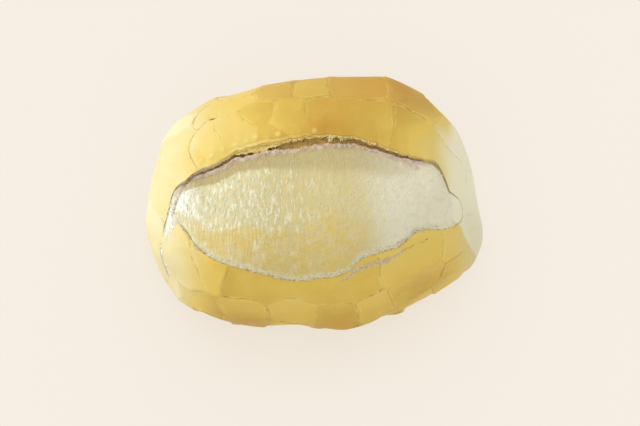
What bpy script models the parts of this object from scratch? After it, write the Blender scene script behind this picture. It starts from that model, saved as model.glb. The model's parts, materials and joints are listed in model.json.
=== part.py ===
"""A crusty oval bread roll that has burst open along one slash.

One closed solid, +Z up, standing on a flat underside at Z = 0. X runs along the roll. -Y is the near side,
where the lower crust meets the pale belly, and the upper crust ends in a torn lip that hangs over the belly.
The skin is a loft of closed outlines, each in a plane across the roll. An outline starts under the roll's
middle, climbs the near side to the seam, crosses the belly, runs in under the lip, comes back out round the
lip's torn edge, and goes over the crown and down the far side. Cracks divide the crust into plates.
"""

import math
from dataclasses import dataclass

import bmesh
import bpy
import numpy as np
from mathutils import Vector, noise

MM = 0.001

# Overall size
LENGTH = 130 * MM
WIDTH = 98 * MM
HEIGHT = 66 * MM
GIRTH_HEIGHT = 25 * MM  # height of the widest level at the middle of the roll
TIP_HEIGHT = 19 * MM  # height of the two end points
BOW = 3.6 * MM  # how far the ends bend towards the near side
SUNK = 1.2 * MM  # depth of the rounded underside that is cut level, which leaves the flat foot

# Roundness of the outlines: 2 is an ellipse, and more is squarer
PLAN_POWER = 2.5
PROFILE_POWER = 2.3
TOP_POWER = 2.15
UNDER_POWER = 2.8

# The slash. Angles go round the roll's axis: 0 is under it, 90 the near side, 180 the top, 270 the far side.
# Each line is a few (distance along the roll in mm, angle in degrees) pairs, joined smoothly.
LIP_LINE = (
    (-60, 143), (-59.3, 148), (-58.5, 154.5), (-57.5, 163), (-56, 172.8), (-54.8, 178.3), (-53.4, 181.5),
    (-52, 183), (-50, 184.2), (-48, 185.2), (-46, 186.2), (-43, 186.3), (-38.5, 186.3), (-35, 187.5),
    (-31, 189.3), (-24, 190.2), (-12, 190.4), (0, 191), (8, 191), (15.5, 190.2), (24, 188), (32.5, 184.3),
    (38, 183.1), (43.8, 181.8), (47.5, 180.7), (49.4, 179), (50.6, 175.2), (51.2, 171), (52.3, 167),
    (54.8, 164), (57, 160), (58.2, 153), (58.6, 146),
)
SEAM_LINE = (
    (-60, 140.5), (-58.2, 142.5), (-57, 147), (-55.8, 152.5), (-54.2, 157.3), (-52.6, 160.3),
    (-51.3, 157.3), (-49.5, 152.8), (-47, 145.4), (-43, 139.8), (-40, 136.8), (-35.8, 134.2), (-30, 131.5),
    (-25, 129), (-19.5, 126), (-14, 122.8), (-8.5, 121.2), (-1, 122.2), (5.8, 123), (10.5, 126.2),
    (13, 130), (18, 133), (25, 134.8), (30, 136.4), (34, 140), (36.5, 142.4), (40.8, 143.4), (48, 141.5),
    (54, 140.5), (58.6, 143),
)
SLASH_ENDS = (LIP_LINE[0][0] * MM, LIP_LINE[-1][0] * MM)
CLOSED_SLASH = 3.0  # degrees between lip and seam where the slash has closed
TAPERS = (11 * MM, 20 * MM)  # stretches over which the slash grows shallow at its two ends
FOLD_START = 3 * MM  # stretch at each end over which the lip begins to hang over

# Depths below the roll's full outline
BELLY_SINK = 6.0 * MM  # the belly under the lip
BELLY_POWER = 2.0
SEAM_DEPTH = 1.5 * MM
SEAM_WIDTH = 1.3 * MM
LEDGE_HEIGHT = 1.3 * MM  # torn ridge on the belly just under the lip
LIP_DROP = 2.4 * MM  # the lip's upper corner
LIP_ROLL = 6.0 * MM  # distance over which the lip rolls down to that corner
LIP_THICK = 1.6 * MM
GAP_REACH = 0.11  # how far the gap runs in under the lip, as a share of the slash's width
# Openness of the gap along the roll, as (distance in mm, share) pairs
GAP_LINE = ((-58, 0.25), (-24, 0.3), (-10, 1.0), (32, 1.0), (46, 0.4), (58, 0.25))
LIP_RAGGED = 0.5 * MM  # unevenness of the torn edge
LIP_SMOOTH = 6 * MM  # stretch of crust next to the lip that stays whole
LIP_SMOOTH_FROM = -40 * MM  # where along the roll that stretch begins
SMOOTH_FADE = 8 * MM  # stretch over which the cracks then deepen

# Crust plates. A plate grows from one or more seeds, each a pair of a distance along the roll in mm and an
# angle in degrees. A crack runs midway between the seeds of two plates.
LOWER_PLATES = (
    ((-51, 124),),
    ((-41.5, 128.5),),
    ((-31, 122), (-19, 121), (-7, 119), (5, 117), (15, 118)),
    ((29, 120), (39.5, 124)),
    ((54, 126),),
    ((-46, 96),),
    ((-32, 100),),
    ((-11, 98),),
    ((5.5, 96),),
    ((20, 98),),
    ((31, 102), (42, 104)),
    ((55, 104),),
)
UPPER_PLATES = (
    ((-56, 185), (-52, 197), (-51, 208)),
    ((-39.5, 197),),
    ((-29, 202), (-24, 194)),
    ((-19.5, 208), (-17, 192)),
    ((-8.5, 203),),
    ((6, 201), (15, 200), (24, 199)),
    ((40, 197), (46, 188), (52, 183)),
    ((-47, 236),),
    ((-37, 226), (-28, 224)),
    ((-13, 227),),
    ((3, 225),),
    ((15, 225), (24, 225)),
    ((39, 227), (44, 218)),
    ((55, 208),),
)
# The rows round the rest of the roll, in degrees, have seeds drawn at random, a plate apart.
LOWER_REST = (77, 58)
UPPER_REST = (247, 265, 284, 302)
END_PLATES = (70, 110, 150)  # angles of the plates that wrap round each end on the near side
PLATE_SIZE = 16 * MM
PLATE_JITTER = 0.25  # wander of a drawn seed, as a share of the plate
WANDER_SEED = 1795888792  # seed of the noise that bends the cracks
PLATE_SEED = 11
CRACK_DEPTH = 0.5 * MM
CRACK_WIDTH = 0.7 * MM
RIM_HEIGHT = 0.2 * MM  # a plate's edge curls up by this much
RIM_WIDTH = 2.2 * MM
PLATE_STEP = 0.35 * MM  # height between neighbouring plates
STEP_TURN = 2.4  # makes the heights of the plates differ from one to the next
PLATE_FLATNESS = 0.5  # 0 follows the roll's curve, 1 is a flat plate
PLATE_SAG = 0.4 * MM  # how far a plate's edge lies below its middle, on average
CRACK_WANDER = 1.1 * MM
CRACK_WAVE = 8 * MM
SMOOTH_BELOW = 40  # degrees either side of the underside's middle with no plates
SMOOTH_TIP = 10 * MM  # stretch at each end over which the plates fade out
CUT_SNAP = 0.25 * MM  # a cut passes through a corner of the mesh that is this near

# A furrow runs on from each end of the slash, down to the girth, through these pairs.
FURROWS = (((-60, 142), (-60.6, 126), (-60.9, 98)), ((58.2, 144), (58.8, 128), (59.4, 104)))
FURROW_DEPTH = (1.3 * MM, 0.6 * MM)
FURROW_WIDTH = 1.4 * MM

# Lumps: (distance along the roll in mm, angle in degrees, reach in mm, height in mm)
LUMPS = (
    (33, 238, 17, 2.2), (-27, 236, 16, -1.6), (7, 90, 13, 4.4), (16, 92, 8, 1.3), (45, 98, 14, -4.0),
    (-57, 102, 10, -3.7), (-47, 242, 14, 2.2), (50, 242, 15, 1.5), (-63, 150, 13, 1.0), (-64, 172, 8, 1.8),
    (62, 95, 11, 2.4), (-30, 150, 14, 0.8), (20, 150, 16, 0.9),
)
UNEVEN = 0.5 * MM
UNEVEN_WAVE = 22 * MM

# Mesh density
SECTIONS = 50
SIDE_POINTS = 13  # from the underside up to the seam
BELLY_POINTS = 13
FAR_POINTS = 19  # from the lip down to the underside

CRUST_COLOUR = (0.66, 0.43, 0.13, 1.0)
CRUST_ROUGHNESS = 0.55

HALF_LENGTH = LENGTH / 2
HALF_WIDTH = WIDTH / 2
TOP_RISE = HEIGHT - GIRTH_HEIGHT


def shrink(along, power):
    """Size of the section at a place along the roll, as a share of the middle one."""
    return (1 - np.abs(along / HALF_LENGTH) ** power) ** (1 / power)


def smooth_step(value):
    """Eases from 0 to 1 as value does."""
    value = np.clip(value, 0, 1)
    return value * value * (3 - 2 * value)


def line_angle(line, along):
    """Angle in radians of one of the slash's lines at a place along the roll, smooth between points."""
    xs = np.array([x for x, _ in line]) * MM
    angles = np.radians([angle for _, angle in line])
    slopes = np.gradient(angles, xs)
    i = int(np.clip(np.searchsorted(xs, along) - 1, 0, len(xs) - 2))
    gap = xs[i + 1] - xs[i]
    t = float(np.clip((along - xs[i]) / gap, 0, 1))
    return (
        (2 * t**3 - 3 * t**2 + 1) * angles[i]
        + (t**3 - 2 * t**2 + t) * gap * slopes[i]
        + (3 * t**2 - 2 * t**3) * angles[i + 1]
        + (t**3 - t**2) * gap * slopes[i + 1]
    )


def outline(along, angle):
    """Points of the roll's full outline, before the slash, at angles round the section at along."""
    width = shrink(along, PLAN_POWER)
    rise = TOP_RISE * shrink(along, PROFILE_POWER)
    level = TIP_HEIGHT + (GIRTH_HEIGHT - TIP_HEIGHT) * width
    foot = -SUNK + (TIP_HEIGHT + SUNK) * (1 - width) ** 2
    sine, cosine = np.sin(angle), np.cos(angle)
    power = np.where(cosine < 0, TOP_POWER, UNDER_POWER)
    across = -np.sign(sine) * np.abs(sine) ** (2 / power) * HALF_WIDTH * width
    reach = np.where(cosine < 0, rise, foot - level) * np.abs(cosine) ** (2 / power)
    bow = -BOW * (along / HALF_LENGTH) ** 2
    return np.stack([np.full_like(across, along), across + bow, level + reach], axis=-1)


def outline_normal(along, angle):
    """Outward normals of the full outline."""
    turn, step = 1e-3, 0.02 * MM
    round_it = outline(along, angle + turn) - outline(along, angle - turn)
    low, high = max(along - step, -HALF_LENGTH * 0.9999), min(along + step, HALF_LENGTH * 0.9999)
    along_it = outline(high, angle) - outline(low, angle)
    normal = np.cross(along_it, round_it)
    return normal / np.linalg.norm(normal, axis=-1, keepdims=True)


def lump_height(points, lump_points):
    """Height of the roll's lumps and its gentle unevenness at points of the full outline."""
    height = np.zeros(len(points))
    for (_, _, reach, rise), centre in zip(LUMPS, lump_points):
        apart = np.linalg.norm(points - centre, axis=1) / (reach * MM)
        height += rise * MM * np.exp(-(apart**2))
    wave = [noise.noise(Vector(p / UNEVEN_WAVE)) for p in points]
    return height + UNEVEN * 2 * np.array(wave)


def slash_stations(width, gap):
    """The outline across the slash, from seam to lip, as (share of the slash's width, depth) pairs."""

    def floor(share):
        return BELLY_SINK * share**BELLY_POWER

    edge, reach = SEAM_WIDTH / width, GAP_REACH * gap
    belly = np.linspace(edge * 2.5, 0.93, BELLY_POINTS)
    stations = [(0.0, 0.3 * MM), (edge * 0.5, SEAM_DEPTH), (edge * 1.4, SEAM_DEPTH * 0.35)]
    stations += [(share, floor(share)) for share in belly]
    stations += [
        (0.95, floor(0.95) - LEDGE_HEIGHT * 0.6),
        (0.972, floor(0.97) - LEDGE_HEIGHT),
        (0.995, floor(1.0) - LEDGE_HEIGHT * 0.4),
        (1 + reach * 0.2, floor(1.0) + 0.9 * MM * gap),
        (1 + reach * 0.6, floor(1.0) + 1.2 * MM * gap),
        (1 + reach, floor(1.0) - 0.3 * MM),
        (1 + reach * 0.9, LIP_DROP + LIP_THICK + 0.5 * MM),
        (1 + reach * 0.4, LIP_DROP + LIP_THICK + 0.2 * MM),
        (1.004, LIP_DROP + LIP_THICK),
        (0.992, LIP_DROP + LIP_THICK * 0.45),
    ]
    return stations


def section(along):
    """One outline: its points' angles and depths, which are torn, which on the near side, and how cracked."""
    lip = line_angle(LIP_LINE, along)
    seam = line_angle(SEAM_LINE, along)
    middle, half = (lip + seam) / 2, max(lip - seam, math.radians(CLOSED_SLASH)) / 2
    lip, seam = middle + half, middle - half
    open_end = min(along - SLASH_ENDS[0], SLASH_ENDS[1] - along)
    inside = ((along - SLASH_ENDS[0]) / TAPERS[0], (SLASH_ENDS[1] - along) / TAPERS[1])
    taper = float(smooth_step(min(inside)))
    ragged = noise.noise(Vector((along / (3 * MM), 0.7, 0.2))) * LIP_RAGGED * taper
    size = HALF_WIDTH * float(shrink(along, PLAN_POWER))
    width = max((lip - seam) * size, 3.5 * SEAM_WIDTH)
    lip += ragged / size

    side = seam * np.linspace(0, 1, SIDE_POINTS + 1)[:-1] ** 0.8
    near_edge = np.exp(-(((seam - side) * size / (1.5 * MM)) ** 2))
    stations = slash_stations(width, float(np.interp(along / MM, *zip(*GAP_LINE))))
    shares = np.array([s for s, _ in stations])
    even = np.linspace(0, 0.99, len(shares))  # the skin doesn't fold where the slash is closed
    folded = float(smooth_step(open_end / FOLD_START))
    shares = even + (shares - even) * folded
    depths = np.array([d for _, d in stations])
    far = lip + (2 * math.pi - lip) * np.linspace(0, 1, FAR_POINTS + 1)[:-1] ** 1.15
    roll = LIP_DROP * np.exp(-(far - lip) * size / LIP_ROLL)
    whole = smooth_step((along - LIP_SMOOTH_FROM) / SMOOTH_FADE)
    whole = whole * (1 - smooth_step(((far - lip) * size - LIP_SMOOTH) / SMOOTH_FADE))

    angle = np.concatenate([side, seam + shares * (lip - seam), far])
    depth = np.concatenate([0.5 * MM * near_edge, depths, roll]) * taper
    torn = np.repeat([0.0, 1.0, 0.0], [len(side), len(stations), len(far)])
    near = np.repeat([True, True, False], [len(side), len(stations), len(far)])
    cracked = np.concatenate([np.ones(len(side)), np.full(len(stations), 1 - folded), 1 - whole])
    return angle, depth, torn, near & (open_end > 0), cracked


def place(along, degrees):
    """A point of the full outline, and its normal, at a distance along in mm and an angle in degrees."""
    along = float(np.clip(along * MM, -0.98 * HALF_LENGTH, 0.98 * HALF_LENGTH))
    angle = np.array([math.radians(degrees)])
    return outline(along, angle)[0], outline_normal(along, angle)[0]


@dataclass
class Seeds:
    """The seeds of the crust's plates."""

    points: np.ndarray
    facings: np.ndarray  # outward normals
    plate: np.ndarray  # number of each seed's plate
    near: np.ndarray  # True on the near side

    def closest(self, points, near):
        """The seed closest to each point, and the closest one of another plate, with their distances."""
        apart = np.linalg.norm(points[:, None] - self.points[None], axis=2)
        apart = np.where(near[:, None] == self.near[None], apart, 1.0)
        own = apart.argmin(axis=1)
        elsewhere = np.where(self.plate[own][:, None] == self.plate[None], 2.0, apart)
        other = elsewhere.argmin(axis=1)
        rows = np.arange(len(points))
        return own, other, apart[rows, own], elsewhere[rows, other]


def plate_seeds():
    """The seeds of all the plates, given ones first."""
    draw = np.random.default_rng(PLATE_SEED)
    half, plate = HALF_LENGTH / MM, PLATE_SIZE / MM
    turn = math.degrees(PLATE_SIZE / HALF_WIDTH)
    plates = []
    for near, given, rest in ((True, LOWER_PLATES, LOWER_REST), (False, UPPER_PLATES, UPPER_REST)):
        plates += [(near, seeds) for seeds in given]
        for row, degrees in enumerate(rest):
            for along in np.arange(-half * 0.9 + (row % 2) * plate / 2, half * 0.95, plate):
                across, round_it = PLATE_JITTER * draw.uniform(-1, 1, 2)
                plates.append((near, ((along + plate * across, degrees + turn * round_it),)))
    plates += [(False, ((end * half, degrees),)) for end in (-0.97, 0.97) for degrees in END_PLATES]
    rows = [
        (*place(along, degrees), number, near)
        for number, (near, seeds) in enumerate(plates)
        for along, degrees in seeds
    ]
    return Seeds(*(np.array(column) for column in zip(*rows)))


def crack_relief(points, near, seeds):
    """Height of the plates' relief at points of the full outline."""
    own, other, to_own, to_other = seeds.closest(points, near)
    between = np.linalg.norm(seeds.points[other] - seeds.points[own], axis=1)
    to_crack = (to_other**2 - to_own**2) / (2 * between)
    plates = []
    for seed in (own, other):
        sag = -((points - seeds.points[seed]) * seeds.facings[seed]).sum(1)
        level = np.sin(seeds.plate[seed] * STEP_TURN) * PLATE_STEP / 2
        plates.append(level + PLATE_FLATNESS * (np.clip(sag, 0, 4 * PLATE_SAG) - PLATE_SAG))
    share = 0.5 + 0.5 * smooth_step(to_crack / CRACK_WIDTH)
    height = share * plates[0] + (1 - share) * plates[1]
    height += RIM_HEIGHT * np.exp(-((to_crack / RIM_WIDTH) ** 2))
    return height - (CRACK_DEPTH + RIM_HEIGHT) * np.exp(-((to_crack / CRACK_WIDTH) ** 2))


def furrow_depth(points):
    """Depth of the furrows that run on from the ends of the slash."""
    depth = np.zeros(len(points))
    for line, deepest in zip(FURROWS, FURROW_DEPTH):
        corners = [place(along, degrees)[0] for along, degrees in line]
        nearest = np.full(len(points), 1.0)
        for start, end in zip(corners, corners[1:]):
            run = end - start
            t = np.clip((points - start) @ run / (run @ run), 0, 1)
            nearest = np.minimum(nearest, np.linalg.norm(points - start - t[:, None] * run, axis=1))
        depth += deepest * np.exp(-((nearest / FURROW_WIDTH) ** 2))
    return depth


def cut_cracks(bm, side_of, seeds):
    """Cuts the crust's faces along the middle and both edges of every crack between two plates."""
    for i, j in ((i, j) for i in range(len(seeds.plate)) for j in range(i)):
        apart = Vector(seeds.points[j] - seeds.points[i])
        near = seeds.near[i]
        if seeds.plate[i] == seeds.plate[j] or near != seeds.near[j] or apart.length > 2.2 * PLATE_SIZE:
            continue
        middle, across = Vector(seeds.points[i] + seeds.points[j]) / 2, apart.normalized()
        for offset in (0, -CRACK_WIDTH, CRACK_WIDTH):
            faces = [
                face
                for face in bm.faces
                if face[side_of] == 1 + near and (face.verts[0].co - middle).length < 1.3 * PLATE_SIZE
            ]
            if not faces:
                continue
            corners = list(dict.fromkeys(vert for face in faces for vert in face.verts))
            places = np.array([vert.co for vert in corners])
            own, other, _, _ = seeds.closest(places, np.full(len(corners), near))
            met = {vert for vert, *pair in zip(corners, own, other) if set(pair) == {i, j}}
            crossed = [face for face in faces if not met.isdisjoint(face.verts)]
            parts = dict.fromkeys(part for face in crossed for part in (*face.edges, *face.verts))
            bmesh.ops.bisect_plane(
                bm,
                geom=crossed + list(parts),
                dist=CUT_SNAP,
                plane_co=middle + across * offset,
                plane_no=across,
            )


def add_sections(bm, side_of, layers):
    """Makes the skin's faces on the full outline. The layers keep what later moves each corner."""
    rings = []
    for step in np.linspace(-math.pi / 2, math.pi / 2, SECTIONS + 2)[1:-1]:
        along = HALF_LENGTH * math.sin(step)
        angle, depth, torn, near, cracked = section(along)
        from_under = np.minimum(angle, 2 * math.pi - angle)
        clear = smooth_step((from_under - math.radians(SMOOTH_BELOW)) / math.radians(15))
        clear = clear * smooth_step((HALF_LENGTH - abs(along) - 1 * MM) / SMOOTH_TIP) * cracked
        ring = []
        values = zip(outline(along, angle), outline_normal(along, angle), depth, clear, near, torn)
        for point, normal, inset, weight, on_near, is_torn in values:
            vert = bm.verts.new(point)
            vert[layers["normal"]] = normal
            vert[layers["depth"]] = inset
            vert[layers["weight"]] = weight
            ring.append((vert, 0 if is_torn else 1 + int(on_near)))
        rings.append(ring)
    for ring, following in zip(rings, rings[1:]):
        for i in range(len(ring)):
            j = (i + 1) % len(ring)
            corners = (ring[i], ring[j], following[j], following[i])
            face = bm.faces.new([vert for vert, _ in corners])
            sides = {side for _, side in corners}
            face[side_of] = sides.pop() if len(sides) == 1 else 0
    for end, ring in ((-1, rings[0]), (1, rings[-1])):
        tip = bm.verts.new(outline(end * HALF_LENGTH, np.array([math.pi / 2]))[0])
        tip[layers["normal"]] = (end, 0, 0)
        for i in range(len(ring)):
            bm.faces.new((ring[i][0], ring[(i + 1) % len(ring)][0], tip))


def shape_skin(bm, side_of, layers, seeds):
    """Moves every corner from the full outline to its place on the burst, cracked and uneven roll."""
    bm.verts.ensure_lookup_table()
    points = np.array([vert.co for vert in bm.verts])
    normals = np.array([vert[layers["normal"]] for vert in bm.verts])
    normals /= np.linalg.norm(normals, axis=1)[:, None]
    depth = np.array([vert[layers["depth"]] for vert in bm.verts])
    weight = np.array([vert[layers["weight"]] for vert in bm.verts])
    near = np.array([any(face[side_of] == 2 for face in vert.link_faces) for vert in bm.verts])
    lump_points = [place(along, degrees)[0] for along, degrees, _, _ in LUMPS]
    height = lump_height(points, lump_points) - depth - furrow_depth(points) * (weight > 0)
    height += weight * crack_relief(points, near, seeds)
    noise.seed_set(WANDER_SEED)
    wander = np.array([noise.noise_vector(Vector(p / CRACK_WAVE)) for p in points])
    wander -= (wander * normals).sum(1)[:, None] * normals
    moved = points + height[:, None] * normals - CRACK_WANDER * weight[:, None] * wander
    moved[:, 2] = np.maximum(moved[:, 2], 0)
    for vert, point in zip(bm.verts, moved):
        vert.co = point


def build_roll():
    """Makes the roll's mesh."""
    bm = bmesh.new()
    side_of = bm.faces.layers.int.new("side")
    layers = {
        "normal": bm.verts.layers.float_vector.new("normal"),
        "depth": bm.verts.layers.float.new("depth"),
        "weight": bm.verts.layers.float.new("weight"),
    }
    add_sections(bm, side_of, layers)
    seeds = plate_seeds()
    cut_cracks(bm, side_of, seeds)
    shape_skin(bm, side_of, layers, seeds)
    bmesh.ops.triangulate(bm, faces=bm.faces, quad_method="SHORT_EDGE")
    bmesh.ops.recalc_face_normals(bm, faces=bm.faces)
    mesh = bpy.data.meshes.new("bolillo_roll")
    bm.to_mesh(mesh)
    bm.free()
    return mesh


def crust_material():
    """Plain golden crust."""
    material = bpy.data.materials.new("crust")
    material.use_nodes = True
    shader = material.node_tree.nodes["Principled BSDF"]
    shader.inputs["Base Color"].default_value = CRUST_COLOUR
    shader.inputs["Roughness"].default_value = CRUST_ROUGHNESS
    shader.inputs["Metallic"].default_value = 0.0
    return material


def main():
    for old in list(bpy.data.objects):
        bpy.data.objects.remove(old)
    mesh = build_roll()
    mesh.materials.append(crust_material())
    roll = bpy.data.objects.new("bolillo_roll", mesh)
    bpy.context.scene.collection.objects.link(roll)
    mesh.shade_smooth()
    mesh.set_sharp_from_angle(angle=math.radians(35))


main()
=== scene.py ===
"""Looks of a bolillo roll: a short crusty bread roll that burst along its slash while it baked.

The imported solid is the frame. The roll's skin is made again here on a fine grid, by the solid's own
rules, and stands for it. Its gap, cracks and slash ends are shallower than the solid's. It carries the
plates, cracks, torn edges and stains of the crust and the crumb as attributes, which its finish reads.
Geometry Nodes grow the small things that repeat: crumbs, fibres and slivers of crust.
X runs along the roll, -Y is the near side with the lower crust, and +Z is up.
"""

from __future__ import annotations

import json
import logging
import math
from dataclasses import dataclass, field
from enum import Enum

import bmesh
import bpy
import numpy as np
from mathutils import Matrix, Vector, noise

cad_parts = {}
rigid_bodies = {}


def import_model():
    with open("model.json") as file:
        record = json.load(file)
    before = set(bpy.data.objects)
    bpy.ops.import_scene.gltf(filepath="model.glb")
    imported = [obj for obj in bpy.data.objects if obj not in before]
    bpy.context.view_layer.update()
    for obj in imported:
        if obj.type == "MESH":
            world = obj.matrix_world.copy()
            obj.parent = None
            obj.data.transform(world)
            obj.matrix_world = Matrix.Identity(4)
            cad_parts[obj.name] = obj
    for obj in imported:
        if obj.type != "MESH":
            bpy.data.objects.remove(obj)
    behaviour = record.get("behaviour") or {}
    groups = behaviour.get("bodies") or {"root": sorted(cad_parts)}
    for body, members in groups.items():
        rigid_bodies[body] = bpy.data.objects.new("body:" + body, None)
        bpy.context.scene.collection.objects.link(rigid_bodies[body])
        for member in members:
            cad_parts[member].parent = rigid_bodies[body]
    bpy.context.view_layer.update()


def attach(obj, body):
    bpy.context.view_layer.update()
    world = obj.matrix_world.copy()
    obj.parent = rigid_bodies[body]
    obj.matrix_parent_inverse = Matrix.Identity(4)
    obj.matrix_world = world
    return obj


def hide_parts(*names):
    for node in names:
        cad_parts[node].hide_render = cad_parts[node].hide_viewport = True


MM = 0.001
NODE = "bolillo_roll"
BODY = "root"

Colour = tuple[float, float, float, float]
Line = tuple[tuple[float, float], ...]

log = logging.getLogger("bolillo")


def srgb(red: int, green: int, blue: int) -> Colour:
    """Makes a linear colour from the usual numbers from 0 to 255.

    Args:
        red: Amount of red.
        green: Amount of green.
        blue: Amount of blue.

    Returns:
        The linear colour with an alpha of 1.
    """
    parts = [part / 255 for part in (red, green, blue)]
    linear = [part / 12.92 if part <= 0.04045 else ((part + 0.055) / 1.055) ** 2.4 for part in parts]
    return (linear[0], linear[1], linear[2], 1.0)


def smooth_step(value: np.ndarray | float) -> np.ndarray:
    """Eases from 0 to 1 as value does."""
    clipped = np.clip(value, 0, 1)
    return clipped * clipped * (3 - 2 * clipped)


def bell(value: np.ndarray | float) -> np.ndarray:
    """Falls from 1 at a value of 0 to nearly 0 at 2."""
    return np.exp(-(np.asarray(value) ** 2))


def waves(points: np.ndarray, lengths: tuple[float, float, float] | float, shift: float = 0.0) -> np.ndarray:
    """Smooth noise from about -1 to 1.

    Args:
        points: Places, in metres, as rows.
        lengths: Size of a wave along X, Y and Z, in mm.
        shift: Moves the pattern, so that two patterns differ.

    Returns:
        One number for each place.
    """
    scaled = points / (np.broadcast_to(lengths, 3) * MM) + shift
    return np.array([noise.noise(Vector(p)) for p in scaled])


@dataclass
class RollForm:
    """The roll's full outline, before it burst, with the same sizes as the solid."""

    length: float = 130 * MM
    width: float = 98 * MM
    height: float = 66 * MM
    girth_height: float = 25 * MM
    tip_height: float = 19 * MM
    bow: float = 3.6 * MM
    sunk: float = 1.2 * MM
    plan_power: float = 2.5
    profile_power: float = 2.3
    top_power: float = 2.15
    under_power: float = 2.8
    uneven: float = 0.5 * MM
    uneven_wave: float = 22.0
    lumps: tuple[tuple[float, float, float, float], ...] = (
        (33, 238, 17, 2.2), (-27, 236, 16, -1.6), (7, 90, 13, 4.4), (16, 92, 8, 1.3),
        (45, 98, 14, -4.0), (-57, 102, 10, -3.7), (-47, 242, 14, 2.2), (50, 242, 15, 1.5),
        (-63, 150, 13, 1.0), (-64, 172, 8, 1.8), (62, 95, 11, 2.4), (-30, 150, 14, 0.8),
        (20, 150, 16, 0.9),
    )

    @property
    def half_length(self) -> float:
        """Half of the roll's length."""
        return self.length / 2

    @property
    def half_width(self) -> float:
        """Half of the roll's width."""
        return self.width / 2

    def shrink(self, along: np.ndarray | float, power: float) -> np.ndarray:
        """Size of the section at a place along the roll, as a share of the middle one."""
        return (1 - np.abs(np.asarray(along) / self.half_length) ** power) ** (1 / power)

    def size(self, along: np.ndarray | float) -> np.ndarray:
        """Half of the section's width, which turns angles into lengths."""
        return self.half_width * self.shrink(along, self.plan_power)

    def outline(self, along: np.ndarray, angle: np.ndarray) -> np.ndarray:
        """Finds points of the full outline.

        Args:
            along: Distances along the roll.
            angle: Angles round its axis: 0 is under it, and a quarter turn is the near side.

        Returns:
            The points, with X, Y and Z last.
        """
        width = self.shrink(along, self.plan_power)
        rise = (self.height - self.girth_height) * self.shrink(along, self.profile_power)
        level = self.tip_height + (self.girth_height - self.tip_height) * width
        foot = -self.sunk + (self.tip_height + self.sunk) * (1 - width) ** 2
        sine, cosine = np.sin(angle), np.cos(angle)
        power = np.where(cosine < 0, self.top_power, self.under_power)
        across = -np.sign(sine) * np.abs(sine) ** (2 / power) * self.half_width * width
        reach = np.where(cosine < 0, rise, foot - level) * np.abs(cosine) ** (2 / power)
        bowed = across - self.bow * (along / self.half_length) ** 2
        return np.stack(np.broadcast_arrays(along, bowed, level + reach), axis=-1)

    def normal(self, along: np.ndarray, angle: np.ndarray) -> np.ndarray:
        """Finds outward normals of the full outline.

        Args:
            along: Distances along the roll.
            angle: Angles round its axis.

        Returns:
            The normals, with X, Y and Z last.
        """
        turn, step, limit = 1e-3, 0.02 * MM, self.half_length * 0.9999
        round_it = self.outline(along, angle + turn) - self.outline(along, angle - turn)
        ahead, behind = np.minimum(along + step, limit), np.maximum(along - step, -limit)
        along_it = self.outline(ahead, angle) - self.outline(behind, angle)
        normal = np.cross(along_it, round_it)
        return normal / np.linalg.norm(normal, axis=-1, keepdims=True)

    def place(self, along_mm: float, degrees: float) -> tuple[np.ndarray, np.ndarray]:
        """Finds one point of the full outline.

        Args:
            along_mm: Its distance along the roll, in mm.
            degrees: Its angle round the roll's axis, in degrees.

        Returns:
            The point and its normal.
        """
        along = np.array([np.clip(along_mm * MM, -0.98 * self.half_length, 0.98 * self.half_length)])
        angle = np.array([math.radians(degrees)])
        return self.outline(along, angle)[0], self.normal(along, angle)[0]

    def lump_height(self, points: np.ndarray) -> np.ndarray:
        """Adds up the lumps and the gentle unevenness.

        Args:
            points: Points of the full outline.

        Returns:
            The height at each point.
        """
        height = 2 * self.uneven * waves(points, self.uneven_wave)
        for along, degrees, reach, rise in self.lumps:
            apart = np.linalg.norm(points - self.place(along, degrees)[0], axis=1)
            height += rise * MM * bell(apart / (reach * MM))
        return height


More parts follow.
